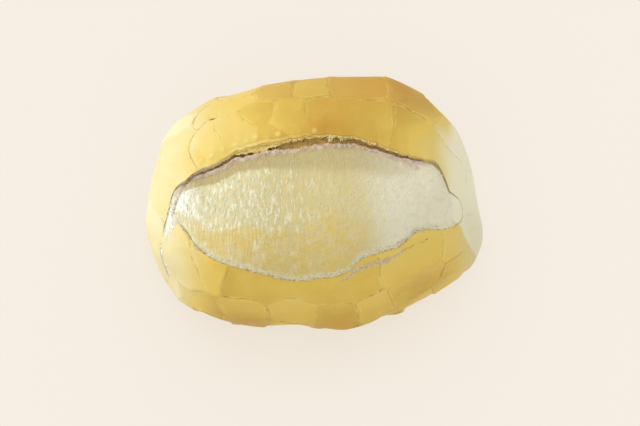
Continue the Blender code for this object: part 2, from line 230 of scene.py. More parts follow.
@dataclass
class Slash:
    """The burst slash: the lines of its lip and seam, and the outline across it."""

    form: RollForm
    lip_line: Line = (
        (-60, 143), (-59.3, 148), (-58.5, 154.5), (-57.5, 163), (-56, 172.8), (-54.8, 178.3),
        (-53.4, 181.5), (-52, 183), (-50, 184.2), (-48, 185.2), (-46, 186.2), (-43, 186.3), (-38.5, 186.3),
        (-35, 187.5), (-31, 189.3), (-24, 190.2), (-12, 190.4), (0, 191), (8, 191), (15.5, 190.2),
        (24, 188), (32.5, 184.3), (38, 183.1), (43.8, 181.8), (47.5, 180.7), (49.2, 178), (50.4, 174),
        (51, 170.5), (51.7, 166.5), (53.4, 164), (55.3, 160.5), (56.3, 154), (56.7, 147.5),
    )
    seam_line: Line = (
        (-60, 140.5), (-58.2, 142.5), (-57, 147), (-55.8, 152.5), (-54.2, 157.3), (-52.6, 160.3),
        (-51.3, 157.3), (-49.5, 152.8), (-47, 145.4), (-43, 139.8), (-40, 136.8), (-35.8, 134.2),
        (-30, 131.5), (-25, 129), (-19.5, 126), (-14, 122.8), (-8.5, 121.2), (-1, 122.2), (5.8, 123),
        (10.5, 126.2), (13, 130), (18, 133), (25, 134.8), (30, 136.4), (34, 140), (36.5, 142.4),
        (40.8, 143.4), (48, 141.8), (53, 142.2), (56.7, 144.5),
    )
    closed: float = 3.0
    tapers: tuple[float, float] = (11 * MM, 20 * MM)
    fold_start: float = 3 * MM
    belly_sink: float = 6.0 * MM
    belly_power: float = 2.0
    seam_depth: float = 0.6 * MM
    seam_width: float = 1.3 * MM
    ledge_height: float = 1.3 * MM
    ledge_share: float = 0.93
    lip_drop: float = 2.4 * MM
    lip_roll: float = 6.0 * MM
    lip_thick: float = 1.6 * MM
    gap_reach: float = 0.03
    gap_floor: float = 0.04
    ledge_shift: float = 0.018
    gap_line: Line = (
        (-58, 0), (-47, 0.02), (-40, 0.08), (-31, 0.2), (-28, 0.6), (-14, 0.65), (-11, 0.85),
        (-8, 1.2), (-4, 1.3), (0, 1.15), (6, 1.0), (10, 1.0), (20, 0.85), (26, 0.6), (32, 0.38),
        (38, 0.12), (44, 0), (58, 0),
    )
    ledge_ends: tuple[float, float] = (-50, 47)
    ledge_fade: float = 5
    end_depth: Line = ((-60, 0.2), (-55, 0.25), (-50, 0.45), (-43, 1), (42, 1), (49, 0.6), (60, 0.45))
    whole_lip: float = 6 * MM
    whole_from: float = -40 * MM
    whole_fade: float = 8 * MM
    ragged: float = 0.5 * MM
    edge_rise: float = 0.5 * MM
    edge_reach: float = 1.5 * MM
    points: int = 112
    round_off: int = 2

    @property
    def ends(self) -> tuple[float, float]:
        """Where the slash begins and ends along the roll."""
        return self.lip_line[0][0] * MM, self.lip_line[-1][0] * MM

    @staticmethod
    def line_angle(line: Line, along: float) -> float:
        """Follows one of the slash's lines, smoothly between its points.

        Args:
            line: The line, as pairs of mm along the roll and degrees.
            along: A place along the roll, in metres.

        Returns:
            The line's angle there, in radians.
        """
        xs = np.array([x for x, _ in line]) * MM
        angles = np.radians([angle for _, angle in line])
        slopes = np.gradient(angles, xs)
        i = int(np.clip(np.searchsorted(xs, along) - 1, 0, len(xs) - 2))
        gap = xs[i + 1] - xs[i]
        t = float(np.clip((along - xs[i]) / gap, 0, 1))
        return float(
            (2 * t**3 - 3 * t**2 + 1) * angles[i]
            + (t**3 - 2 * t**2 + t) * gap * slopes[i]
            + (3 * t**2 - 2 * t**3) * angles[i + 1]
            + (t**3 - t**2) * gap * slopes[i + 1]
        )

    def open_share(self, along: float) -> float:
        """How far the slash is open at a place along the roll, from 0 to 1."""
        shares = ((along - self.ends[0]) / self.tapers[0], (self.ends[1] - along) / self.tapers[1])
        return float(smooth_step(min(shares)))

    def inside(self, along: float) -> float:
        """Distance along the roll from the slash's nearer end, negative beyond it."""
        return min(along - self.ends[0], self.ends[1] - along)

    def folded(self, along: float) -> float:
        """How far the lip hangs over at a place along the roll, from 0 to 1."""
        return float(smooth_step(self.inside(along) / self.fold_start))

    def gap(self, along_mm: np.ndarray | float) -> np.ndarray:
        """How wide the gap between ledge and lip is at places along the roll in mm, from 0 to 1."""
        return np.interp(along_mm, *zip(*self.gap_line))

    def ledge(self, along_mm: np.ndarray | float) -> np.ndarray:
        """Fades the ledge in and out.

        Args:
            along_mm: Places along the roll, in mm.

        Returns:
            How high the ledge is there, from 0 to 1.
        """
        start, end = self.ledge_ends
        along = np.asarray(along_mm)
        return smooth_step((along - start) / self.ledge_fade) * smooth_step((end - along) / self.ledge_fade)

    def whole(self, along: float, from_lip: np.ndarray) -> np.ndarray:
        """Where the crust next to the lip has no cracks, from 0 to 1, for distances from the lip."""
        started = smooth_step((along - self.whole_from) / self.whole_fade)
        return started * (1 - smooth_step((from_lip - self.whole_lip) / self.whole_fade))

    def edges(self, along: float) -> tuple[float, float]:
        """Finds the slash's two edges, which stay a little apart where it has closed.

        Args:
            along: A place along the roll.

        Returns:
            The angles of the seam and of the lip.
        """
        lip, seam = self.line_angle(self.lip_line, along), self.line_angle(self.seam_line, along)
        middle, half = (lip + seam) / 2, max(lip - seam, math.radians(self.closed)) / 2
        return middle - half, middle + half

    def across(self, along: float, width: float) -> tuple[np.ndarray, np.ndarray]:
        """Works out the outline across the slash, evenly spaced, from the seam to the lip's upper corner.

        Args:
            along: The section's place along the roll.
            width: The slash's width there.

        Returns:
            Shares of the width, and depths below the full outline.
        """

        def floor(share: np.ndarray | float) -> np.ndarray:
            """Depth of the belly at a share of the width."""
            return self.belly_sink * np.asarray(share) ** self.belly_power

        edge, gap = self.seam_width / width, float(self.gap(along / MM))
        back, reach = 1 - self.gap_floor * gap, self.gap_reach * gap
        rise = self.ledge_height * float(self.ledge(along / MM))
        belly = np.linspace(edge * 2.5, self.ledge_share - self.ledge_shift * gap, 40)
        top, under = self.lip_drop, self.lip_drop + self.lip_thick * (1 + 0.3 * gap)
        shares = [0.0, edge * 0.5, edge * 1.4, *belly, 0.95 - 0.02 * gap, 0.972 - 0.028 * gap, back - 0.005]
        depths = [0.3 * MM, self.seam_depth, self.seam_depth * 0.35, *floor(belly)]
        depths += [floor(0.95) - rise * 0.6, floor(0.97) - rise, floor(1.0) - rise * 0.4]
        shares += [back + 0.004, (back + 1) / 2 + 0.003, 1.002 + reach, 1.002 + reach * 0.8, 1.004, 0.992]
        depths += [floor(1.0) - 0.3 * MM + 0.2 * MM * gap, floor(1.0) - 0.2 * MM + 0.3 * MM * gap]
        depths += [floor(1.0) - 0.3 * MM, under + 0.3 * MM, under, top + self.lip_thick * 0.45]
        share, depth = np.array(shares), np.array([float(d) for d in depths])
        run = np.concatenate([[0], np.cumsum(np.hypot(np.diff(share) * width, np.diff(depth)))])
        even = np.linspace(0, run[-1], self.points)
        fine = [np.interp(even, run, values) for values in (share, depth)]
        for values in fine:
            for _ in range(self.round_off):
                values[1:-1] = (values[:-2] + 2 * values[1:-1] + values[2:]) / 4
        unfolded = np.linspace(0, 0.99, self.points)
        return unfolded + (fine[0] - unfolded) * self.folded(along), fine[1]


@dataclass(frozen=True)
class Cells:
    """Each point's closest seed, the closest seed of another plate, and the distance to their crack."""

    own: np.ndarray
    other: np.ndarray
    to_crack: np.ndarray


@dataclass
class CrustPlates:
    """The plates that cracks divide the crust into. Each grows from one or more seeds."""

    form: RollForm
    lower: tuple[Line, ...] = (
        ((-51, 124),),
        ((-41.5, 128.5),),
        ((-31, 122), (-19, 121), (-7, 119), (5, 117), (15, 118)),
        ((29, 120), (39.5, 124)),
        ((54, 126),),
        ((-46, 96),),
        ((-32, 100),),
        ((-11, 98),),
        ((5.5, 96),),
        ((20, 98),),
        ((31, 102), (42, 104)),
        ((55, 104),),
    )
    upper: tuple[Line, ...] = (
        ((-56, 185), (-52, 197), (-51, 208)),
        ((-39.5, 197),),
        ((-29, 202), (-24, 194)),
        ((-19.5, 208), (-17, 192)),
        ((-8.5, 203),),
        ((6, 201), (15, 200), (24, 199)),
        ((40, 197), (46, 188), (52, 183)),
        ((-47, 236),),
        ((-37, 226), (-28, 224)),
        ((-13, 227),),
        ((3, 225),),
        ((15, 225), (24, 225)),
        ((39, 227), (44, 218)),
        ((55, 208),),
    )
    lower_rest: tuple[float, ...] = (77, 58)
    upper_rest: tuple[float, ...] = (247, 265, 284, 302)
    end_plates: tuple[float, ...] = (70, 110, 150)
    plate_size: float = 16 * MM
    jitter: float = 0.25
    seed: int = 11
    crack_depth: float = 0.16 * MM
    crack_width: float = 0.36 * MM
    rim_height: float = 0.05 * MM
    rim_width: float = 1 * MM
    step: float = 0.5 * MM
    step_turn: float = 2.4
    flatness: float = 0.8
    sag: float = 0.4 * MM
    seeds: np.ndarray = field(init=False)
    facings: np.ndarray = field(init=False)
    plate: np.ndarray = field(init=False)
    near: np.ndarray = field(init=False)

    def __post_init__(self) -> None:
        """Places the seeds, given ones first, as the solid's source does."""
        draw = np.random.default_rng(self.seed)
        half, size = self.form.half_length / MM, self.plate_size / MM
        turn = math.degrees(self.plate_size / self.form.half_width)
        plates: list[tuple[bool, Line]] = []
        for near, given, rest in ((True, self.lower, self.lower_rest), (False, self.upper, self.upper_rest)):
            plates += [(near, seeds) for seeds in given]
            for row, degrees in enumerate(rest):
                for along in np.arange(-half * 0.9 + (row % 2) * size / 2, half * 0.95, size):
                    across, round_it = self.jitter * draw.uniform(-1, 1, 2)
                    plates.append((near, ((along + size * across, degrees + turn * round_it),)))
        plates += [(False, ((end * half, angle),)) for end in (-0.97, 0.97) for angle in self.end_plates]
        rows = [
            (*self.form.place(along, degrees), number, near)
            for number, (near, seeds) in enumerate(plates)
            for along, degrees in seeds
        ]
        self.seeds, self.facings, self.plate, self.near = (np.array(column) for column in zip(*rows))

    def closest(self, points: np.ndarray, near: np.ndarray) -> tuple[np.ndarray, np.ndarray, np.ndarray]:
        """Finds the plates next to each point.

        Args:
            points: Points of the full outline.
            near: Which points are on the near side.

        Returns:
            The closest seed, the closest seed of another plate, and the distance to the crack between them.
        """
        apart = np.linalg.norm(points[:, None] - self.seeds[None], axis=2)
        apart = np.where(near[:, None] == self.near[None], apart, 1.0)
        own = apart.argmin(axis=1)
        elsewhere = np.where(self.plate[own][:, None] == self.plate[None], 2.0, apart)
        other = elsewhere.argmin(axis=1)
        rows = np.arange(len(points))
        between = np.linalg.norm(self.seeds[other] - self.seeds[own], axis=1)
        to_crack = (elsewhere[rows, other] ** 2 - apart[rows, own] ** 2) / (2 * between)
        return own, other, to_crack

    def relief(self, points: np.ndarray, cells: Cells) -> np.ndarray:
        """Adds up the plates' steps, flat tops, curled rims and cracks.

        Args:
            points: Points of the full outline.
            cells: Their plates and cracks.

        Returns:
            The height at each point.
        """
        to_crack = cells.to_crack
        heights = []
        for seed in (cells.own, cells.other):
            fall = -((points - self.seeds[seed]) * self.facings[seed]).sum(1)
            level = np.sin(self.plate[seed] * self.step_turn) * self.step / 2
            heights.append(level + self.flatness * (np.clip(fall, 0, 4 * self.sag) - self.sag))
        share = 0.5 + 0.5 * smooth_step(to_crack / self.crack_width)
        height = share * heights[0] + (1 - share) * heights[1]
        height += self.rim_height * bell(to_crack / self.rim_width)
        return height - (self.crack_depth + self.rim_height) * bell(to_crack / self.crack_width)


@dataclass(frozen=True)
class Furrow:
    """A narrow line on the skin: a furrow that runs on from the slash, a split, a strip or a crease."""

    line: Line
    depth: float
    width: float = 1.4 * MM
    paleness: float = 0.0

    def nearness(self, form: RollForm, points: np.ndarray) -> np.ndarray:
        """Measures how near points are to the furrow's bottom.

        Args:
            form: The roll's outline.
            points: Points of it.

        Returns:
            Numbers from 0 to 1.
        """
        corners = [form.place(along, degrees)[0] for along, degrees in self.line]
        nearest = np.full(len(points), 1.0)
        for start, end in zip(corners, corners[1:]):
            run = end - start
            t = np.clip((points - start) @ run / (run @ run), 0, 1)
            nearest = np.minimum(nearest, np.linalg.norm(points - start - t[:, None] * run, axis=1))
        return bell(nearest / self.width)


@dataclass(frozen=True)
class Patch:
    """A soft patch of the crust or crumb, such as a well browned or a pale one."""

    along: float
    degrees: float
    reach: float
    amount: float

    def over(self, form: RollForm, points: np.ndarray) -> np.ndarray:
        """The patch's amount at points of the full outline."""
        apart = np.linalg.norm(points - form.place(self.along, self.degrees)[0], axis=1)
        return self.amount * bell(apart / (self.reach * MM))


@dataclass
class Browning:
    """How brown the crust is, as pairs of mm along the roll and amount, for each band round the roll."""

    lower: Line = (
        (-64, 0.26), (-56, 0.28), (-49, 0.45), (-40, 0.64), (-26, 0.61), (-10, 0.56), (8, 0.56),
        (28, 0.6), (50, 0.58), (64, 0.5),
    )
    lip: Line = (
        (-64, 0.16), (-50, 0.26), (-38, 0.46), (-30, 0.46), (-22, 0.56), (-8, 0.78), (6, 0.86),
        (24, 0.82), (36, 0.62), (46, 0.4), (53, 0.1), (64, 0),
    )
    crown: Line = (
        (-64, 0.16), (-50, 0.22), (-34, 0.5), (-14, 0.76), (2, 0.84), (20, 0.88), (38, 0.94),
        (48, 0.78), (55, 0.5), (64, 0.2),
    )
    pale_end: Line = (
        (80, 60.5), (105, 59.4), (125, 57.3), (139, 55.4), (143.5, 54.0), (147, 51.5),
        (166, 51.2), (178, 52.8), (185, 54.0), (200, 55.2), (240, 57.5),
    )
    hard_below: float = 150
    bands: tuple[float, float, float] = (140, 185, 225)
    patches: tuple[Patch, ...] = (
        Patch(6, 194.5, 5, 0.13), Patch(-36, 137, 5, 0.16), Patch(6, 84, 18, 0.28),
        Patch(-42.5, 192, 3, 0.16), Patch(-52, 140, 8, -0.08), Patch(-45, 194, 7, 0.12),
        Patch(-34, 194, 7, 0.14), Patch(-30, 84, 14, 0.24), Patch(40, 96, 14, 0.22),
    )

    def over(self, form: RollForm, points: np.ndarray, along: np.ndarray, degrees: np.ndarray) -> np.ndarray:
        """Blends the bands and adds the patches, up to the pale end.

        Args:
            form: The roll's outline.
            points: Points of it.
            along: Their distances along the roll.
            degrees: Their angles.

        Returns:
            The amount of browning, from 0 to about 1.
        """
        lines = (self.lower, self.lip, self.crown)
        lower, lip, crown = (np.interp(along / MM, *zip(*line)) for line in lines)
        to_lip = smooth_step((degrees - self.bands[0]) / (self.bands[1] - self.bands[0]))
        to_crown = smooth_step((degrees - self.bands[1]) / (self.bands[2] - self.bands[1]))
        brown = lower + (lip - lower) * to_lip + (crown - lip) * to_crown
        brown = brown + sum(patch.over(form, points) for patch in self.patches)
        beyond = along / MM - np.interp(degrees, *zip(*self.pale_end))
        softness = 0.6 + 4.4 * smooth_step((degrees - self.hard_below) / 25)
        return brown * (1 - smooth_step(beyond / softness + 0.5))


@dataclass
class RollSkin:
    """The roll's whole skin: one closed mesh on a fine grid, with attributes that its finish reads."""

    form: RollForm
    slash: Slash
    plates: CrustPlates
    sections: int = 300
    crowding: float = 0.25
    side_points: int = 88
    far_points: int = 128
    smooth_below: float = 40.0
    smooth_tip: float = 10 * MM
    wander: float = 1.1 * MM
    wander_wave: float = 8.0
    join: float = 1.4 * MM
    smooth_fade: float = 15.0
    least_width: float = 4.55 * MM
    least_fray: float = 0.25
    least_shown: float = 0.35
    lip_wave: float = 3 * MM
    fray_wave: float = 1.3 * MM
    far_below: float = 50.0
    far_off: float = 5.0
    pit_depth: float = 1.1 * MM
    strip_depth: float = 0.35 * MM
    strip_roughness: float = 0.8
    strip_wave: float = 1.1
    split_depth: float = 0.25 * MM
    furrows: tuple[Furrow, ...] = (
        Furrow(((-60, 142), (-60.3, 126), (-60.2, 98)), 0.4 * MM, 1.2 * MM, 1.3),
        Furrow(((58.2, 144), (58.8, 128), (59.4, 104)), 0.6 * MM),
    )
    browning: Browning = field(default_factory=Browning)
    ledge_lumps: tuple[Patch, ...] = (
        Patch(-21, 185, 2.5, 0.5), Patch(-13, 186, 2.2, 0.6), Patch(16, 184.5, 2.6, 0.6),
        Patch(22, 182.5, 2.5, 0.5),
    )
    lobe: Furrow = Furrow(
        (
            (50.9, 170.2), (51.6, 165.6), (53.4, 164), (55.3, 160.5), (56.2, 154), (55.8, 147.8),
            (54.7, 144), (52.8, 142.6),
        ),
        0.15 * MM, 0.45 * MM,
    )
    ledge_end: tuple[Patch, ...] = (
        Patch(36.4, 179.42, 1.25, 0.9), Patch(38, 179.1, 1.25, 0.9), Patch(39.6, 178.78, 1.25, 0.9),
        Patch(41.2, 178.46, 1.25, 0.9),
    )
    strips: tuple[Furrow, ...] = (
        Furrow(((12.5, 125.3), (16.2, 127), (20.2, 128.4), (24, 129.6)), 0.5 * MM, 1.7 * MM),
        Furrow(((7.5, 119), (9.5, 120.5), (12.5, 124.3)), 0.3 * MM, 0.6 * MM),
        Furrow(((24, 129.6), (27.5, 130.8), (31, 133.2)), 0.3 * MM, 0.8 * MM),
    )
    splits: tuple[Furrow, ...] = (
        Furrow(((26.5, 130.3), (30, 132.4), (34.2, 134.8), (38, 137), (41, 138.8)), 0.3 * MM, 0.6 * MM),
        Furrow(
            ((-44.6, 187.5), (-46.2, 194), (-46.3, 201.9), (-44.6, 209.1), (-38.9, 216.6)),
            0.25 * MM, 0.55 * MM,
        ),
    )
    pits: tuple[Patch, ...] = (
        Patch(-37.4, 217.5, 0.9, 1.0), Patch(-36.2, 216, 1.0, 1.0), Patch(-34.8, 216.5, 0.7, 0.9),
    )
    blisters: tuple[Patch, ...] = (
        Patch(-42.3, 190.5, 1.0, 0.45), Patch(-38.3, 191.0, 1.1, 0.45), Patch(-33.5, 192.0, 0.9, 0.35),
        Patch(-28.9, 192.5, 1.2, 0.45), Patch(-24.5, 193.0, 0.9, 0.35), Patch(-20.6, 194.2, 1.2, 0.45),
        Patch(-16.0, 192.5, 0.9, 0.35), Patch(-11.9, 193.5, 1.3, 0.5), Patch(2.0, 193.0, 1.3, 0.45),
    )
    crease: Furrow = Furrow(
        ((-49.6, 185), (-51, 181.5), (-52.2, 178), (-53.6, 173), (-54.4, 168.5)), 1.1 * MM, 0.7 * MM
    )
    # Reach in mm and strength, along the roll, of the lip's cast shadow that is painted on the crumb below
    # the ledge.
    painted_shadow_reach: Line = (
        (-54, 1.2), (-46, 3.0), (-25, 4.6), (-8, 7), (10, 10), (25, 9), (40, 4.0), (56, 1.0),
    )
    painted_shadow_amount: Line = (
        (-54, 0.6), (-46, 1.0), (-18, 0.95), (-6, 0.8), (2, 0.7), (20, 0.6), (36, 0.3), (46, 0.1),
        (56, 0.0),
    )
    wander_seed: int = 1795888792
    point_count: int = field(init=False, default=0)
    layout: dict[str, np.ndarray] = field(init=False, default_factory=dict)
    surface: np.ndarray = field(init=False, default_factory=lambda: np.zeros(0))
    crack_run: np.ndarray = field(init=False, default_factory=lambda: np.zeros(0))

    def grid(self) -> dict[str, np.ndarray]:
        """Lays out the grid of the skin.

        Returns:
            For every corner, by rows of sections, what section() gives.
        """
        steps = np.linspace(-1, 1, self.sections + 2)[1:-1]
        turned = steps * (1 - self.crowding) + self.crowding * steps**3
        rows: dict[str, list[np.ndarray]] = {}
        for along in self.form.half_length * np.sin(turned * math.pi / 2):
            for name, values in self.section(float(along)).items():
                rows.setdefault(name, []).append(values)
        return {name: np.array(values) for name, values in rows.items()}

    def section(self, along: float) -> dict[str, np.ndarray]:
        """Lays out one outline across the roll: the lower crust, the slash, then the upper crust.

        Args:
            along: The section's place along the roll.

        Returns:
            For each of its corners: where it is (along, angle), its depth below the full outline, which part
            it is on (torn, near, share of the slash's width), how far the slash is open, whether cracks may
            show, and its distances in mm from the seam and the lip, below the outline and below the ledge.
        """
        slash, size = self.slash, float(self.form.size(along))
        seam, lip = slash.edges(along)
        opened = slash.open_share(along)
        width = max((lip - seam) * size, self.least_width)
        fray = self.least_fray + (1 - self.least_fray) * float(slash.gap(along / MM))
        lip += noise.noise(Vector((along / self.lip_wave, 0.7, 0.2))) * slash.ragged * opened / size
        lip += noise.noise(Vector((along / self.fray_wave, 3.3, 0.4))) * slash.ragged * fray * opened / size
        side = seam * np.linspace(0, 1, self.side_points + 1)[:-1] ** 0.7
        share, depth = slash.across(along, width)
        far = lip + (2 * math.pi - lip) * np.linspace(0, 1, self.far_points + 1)[:-1] ** 1.25
        edge = slash.edge_rise * bell((seam - side) * size / slash.edge_reach)
        roll = slash.lip_drop * np.exp(-(far - lip) * size / slash.lip_roll)
        angle = np.concatenate([side, seam + share * (lip - seam), far])
        counts = [len(side), len(share), len(far)]
        away = [np.full(len(part), self.far_below) for part in (side, far)]
        below = (slash.ledge_share - share) * width / MM
        unfolded = np.full(len(share), 1 - slash.folded(along))
        whole = slash.whole(along, (far - lip) * size)
        end_depth = float(np.interp(along / MM, *zip(*slash.end_depth)))
        return {
            "along": np.full(len(angle), along),
            "angle": angle,
            "depth": np.concatenate([edge, depth, roll]) * opened * end_depth,
            "torn": np.repeat([0.0, 1.0, 0.0], counts),
            "near": np.repeat([1.0, 1.0, 0.0], counts) * (opened > 0),
            "share": np.concatenate([np.zeros(len(side)), share, np.ones(len(far))]),
            "opened": np.full(len(angle), opened),
            "cracked": np.concatenate([np.ones(len(side)), unfolded, 1 - whole]),
            "from_seam": (angle - seam) * size / MM,
            "from_lip": (angle - lip) * size / MM,
            "sunk": np.concatenate([np.zeros(len(side)), depth, np.zeros(len(far))]) / MM,
            "below": np.concatenate([away[0], below, away[1]]),
        }

    def build(self) -> bpy.types.Object:
        """Makes the skin.

        Returns:
            The roll's object, at the origin.
        """
        layout = self.grid()
        self.point_count = layout["along"].shape[1]
        flat = {name: values.ravel() for name, values in layout.items()}
        full = self.form.outline(flat["along"], flat["angle"])
        normal = self.form.normal(flat["along"], flat["angle"])
        cells = self.cells(full, flat["near"] > 0.5)
        clear, marks = self.cleared(flat), self.marks(full, flat["torn"])
        height = self.height(full, flat, clear, marks) + clear * self.plates.relief(full, cells)
        noise.seed_set(self.wander_seed)
        slide = np.array([noise.noise_vector(Vector(p / (self.wander_wave * MM))) for p in full])
        slide -= (slide * normal).sum(1)[:, None] * normal
        moved = full + height[:, None] * normal - self.wander * clear[:, None] * slide
        moved[:, 2] = np.maximum(moved[:, 2], 0)

        attributes = {
            **self.crust_masks(full, flat, clear, cells),
            **self.crumb_masks(full, flat),
            **{name: marks[name] for name in ("pit", "blister", "crease", "lobe", "furrow")},
            **{name: np.minimum(marks[name], 1) for name in ("strip", "split")},
        }
        shape = (self.sections, self.point_count)
        self.layout = {name: values.reshape(shape) for name, values in (attributes | flat).items()}
        self.layout["cleared"] = clear.reshape(shape)
        self.surface = moved.reshape(*shape, 3)
        run = np.cross(normal, self.plates.seeds[cells.other] - self.plates.seeds[cells.own])
        self.crack_run = (run / np.linalg.norm(run, axis=1)[:, None]).reshape(*shape, 3)
        roll = bpy.data.objects.new("roll_skin", self.mesh(moved, attributes))
        bpy.context.scene.collection.objects.link(roll)
        return roll

    def cells(self, full: np.ndarray, near: np.ndarray) -> Cells:
        """Finds the plates next to each corner, in slices to spare memory.

        Args:
            full: Points of the full outline.
            near: Which of them are on the near side.

        Returns:
            Their plates and cracks.
        """
        slices = np.array_split(np.arange(len(full)), 12)
        parts = [self.plates.closest(full[rows], near[rows]) for rows in slices]
        return Cells(*(np.concatenate(column) for column in zip(*parts)))

    def cleared(self, flat: dict[str, np.ndarray]) -> np.ndarray:
        """Fades the plates out at the underside, the two tips, the slash and its two ends.

        Args:
            flat: The layout of all corners.

        Returns:
            How far the plates' relief shows at each corner, from 0 to 1.
        """
        along, angle = flat["along"], flat["angle"]
        from_under = np.degrees(np.minimum(angle, 2 * math.pi - angle))
        clear = smooth_step((from_under - self.smooth_below) / self.smooth_fade) * flat["cracked"]
        clear *= smooth_step((self.form.half_length - np.abs(along) - 1 * MM) / self.smooth_tip)
        for end in self.slash.ends:
            clear *= 1 - bell((along - end) / self.join) * (angle < math.pi)
        return clear

    def lines_over(self, lines: tuple[Furrow, ...], full: np.ndarray) -> np.ndarray:
        """How near points of the full outline are to some lines, added up."""
        return sum(line.nearness(self.form, full) for line in lines)

    def patches_over(self, patches: tuple[Patch, ...], full: np.ndarray) -> np.ndarray:
        """How strong some patches are at points of the full outline, added up."""
        return sum(patch.over(self.form, full) for patch in patches)

    def marks(self, full: np.ndarray, torn: np.ndarray) -> dict[str, np.ndarray]:
        """Finds the single marks on the skin.

        Args:
            full: Points of the full outline.
            torn: Which of them are inside the slash.

        Returns:
            How strong each kind of mark is at each point, and the furrows' depth in metres.
        """
        near_furrow = [line.nearness(self.form, full) for line in self.furrows]
        pale_furrow = sum(near * line.paleness for near, line in zip(near_furrow, self.furrows))
        return {
            "depth": sum(near * line.depth for near, line in zip(near_furrow, self.furrows)),
            "furrow": (1 - torn) * pale_furrow,
            "pit": np.minimum(self.patches_over(self.pits, full), 1),
            "strip": self.lines_over(self.strips, full) * (1 - torn),
            "split": self.lines_over(self.splits, full) * (1 - torn),
            "crease": self.crease.nearness(self.form, full) * torn,
            "lobe": self.lobe.nearness(self.form, full),
            "blister": self.patches_over(self.blisters, full),
        }

    def height(
        self, full: np.ndarray, flat: dict[str, np.ndarray], clear: np.ndarray, marks: dict[str, np.ndarray]
    ) -> np.ndarray:
        """Adds up all relief except the plates'.

        Args:
            full: Points of the full outline.
            flat: Their layout.
            clear: How far the plates show at each.
            marks: The single marks.

        Returns:
            The height over the full outline.
        """
        rough = 1 + self.strip_roughness * waves(full, self.strip_wave, 3.0)
        height = self.form.lump_height(full) - flat["depth"] - marks["depth"] * (clear > 0)
        height -= marks["pit"] * self.pit_depth
        height += self.fine_relief(full, flat) - marks["crease"] * self.crease.depth
        return height - self.strip_depth * marks["strip"] * rough - self.split_depth * marks["split"]

    def fine_relief(self, full: np.ndarray, flat: dict[str, np.ndarray]) -> np.ndarray:
        """Adds up the finest relief: torn crumb, its fibres, blisters, and the faint waviness of the crust.

        Args:
            full: Points of the full outline.
            flat: Their layout.

        Returns:
            The height at each point.
        """
        slash, share = self.slash, flat["share"]
        torn = flat["torn"] * flat["opened"]
        along = flat["along"] / MM
        gap = slash.gap(along)
        left = smooth_step((6 - along) / 40)
        fibres = waves(full, (0.9, 7.0, 7.0)) + 0.6 * waves(full, (0.5, 4.0, 4.0), 5.0)
        lumpy = waves(full, 2.6, 9.0) + 0.5 * waves(full, 1.2, 13.0)
        belly = torn * smooth_step((slash.ledge_share - share) / 0.05)
        ledge = torn * smooth_step((share - slash.ledge_share + 0.01 + slash.ledge_shift * gap) / 0.04)
        ledge *= slash.ledge(along) * smooth_step((1.004 - slash.gap_floor * gap - share) / 0.008)
        strands = torn * smooth_step((-52 - along) / 2) * waves(full, (0.55, 5.0, 5.0), 17.0)
        fringe = bell((flat["from_seam"] - 1.5) / 2.5) * flat["opened"]
        height = belly * (0.17 * left * fibres + (0.05 + 0.07 * bell((share - 0.3) / 0.3)) * lumpy)
        height += ledge * (0.55 * lumpy + 0.4) + fringe * 0.22 * lumpy + 0.5 * strands
        height += ledge * self.patches_over(self.ledge_lumps, full)
        height += torn * 0.9 * np.minimum(self.patches_over(self.ledge_end, full), 1.2)
        height += (1 - torn) * 0.03 * waves(full, 3.5, 21.0)
        height += self.patches_over(self.blisters, full)
        return height * MM

    def crust_masks(
        self, full: np.ndarray, flat: dict[str, np.ndarray], clear: np.ndarray, cells: Cells
    ) -> dict[str, np.ndarray]:
        """Works out what the finish of the crust reads.

        Args:
            full: Points of the full outline.
            flat: Their layout.
            clear: How far the plates show at each.
            cells: Their plates and cracks.

        Returns:
            The distance in mm to the nearest crack, with and without a sign for its side, the plate's tone,
            how far that crack shows, the browning, and the place on the slash.
        """
        order = np.where(self.plates.plate[cells.own] < self.plates.plate[cells.other], 1, -1)
        distance = np.clip(cells.to_crack / MM, 0, self.far_off)
        distance = distance + (self.far_off - distance) * (1 - smooth_step(clear * 3))
        pair = np.minimum(cells.own, cells.other) * 17 + np.maximum(cells.own, cells.other) * 31
        return {
            "crack": distance,
            "crack_side": distance * order,
            "tone": np.sin(self.plates.plate[cells.own] * 4.1) * smooth_step(distance / 0.8),
            "shown": self.least_shown + (1 - self.least_shown) * (np.sin(pair * 2.7) * 0.5 + 0.5),
            "browning": self.browning.over(self.form, full, flat["along"], np.degrees(flat["angle"])),
            "torn": flat["torn"] * flat["opened"],
            "share": flat["share"],
            "from_seam": np.clip(flat["from_seam"], -8, 8),
            "from_lip": np.clip(flat["from_lip"], -8, 12),
            "sunk": flat["sunk"],
        }

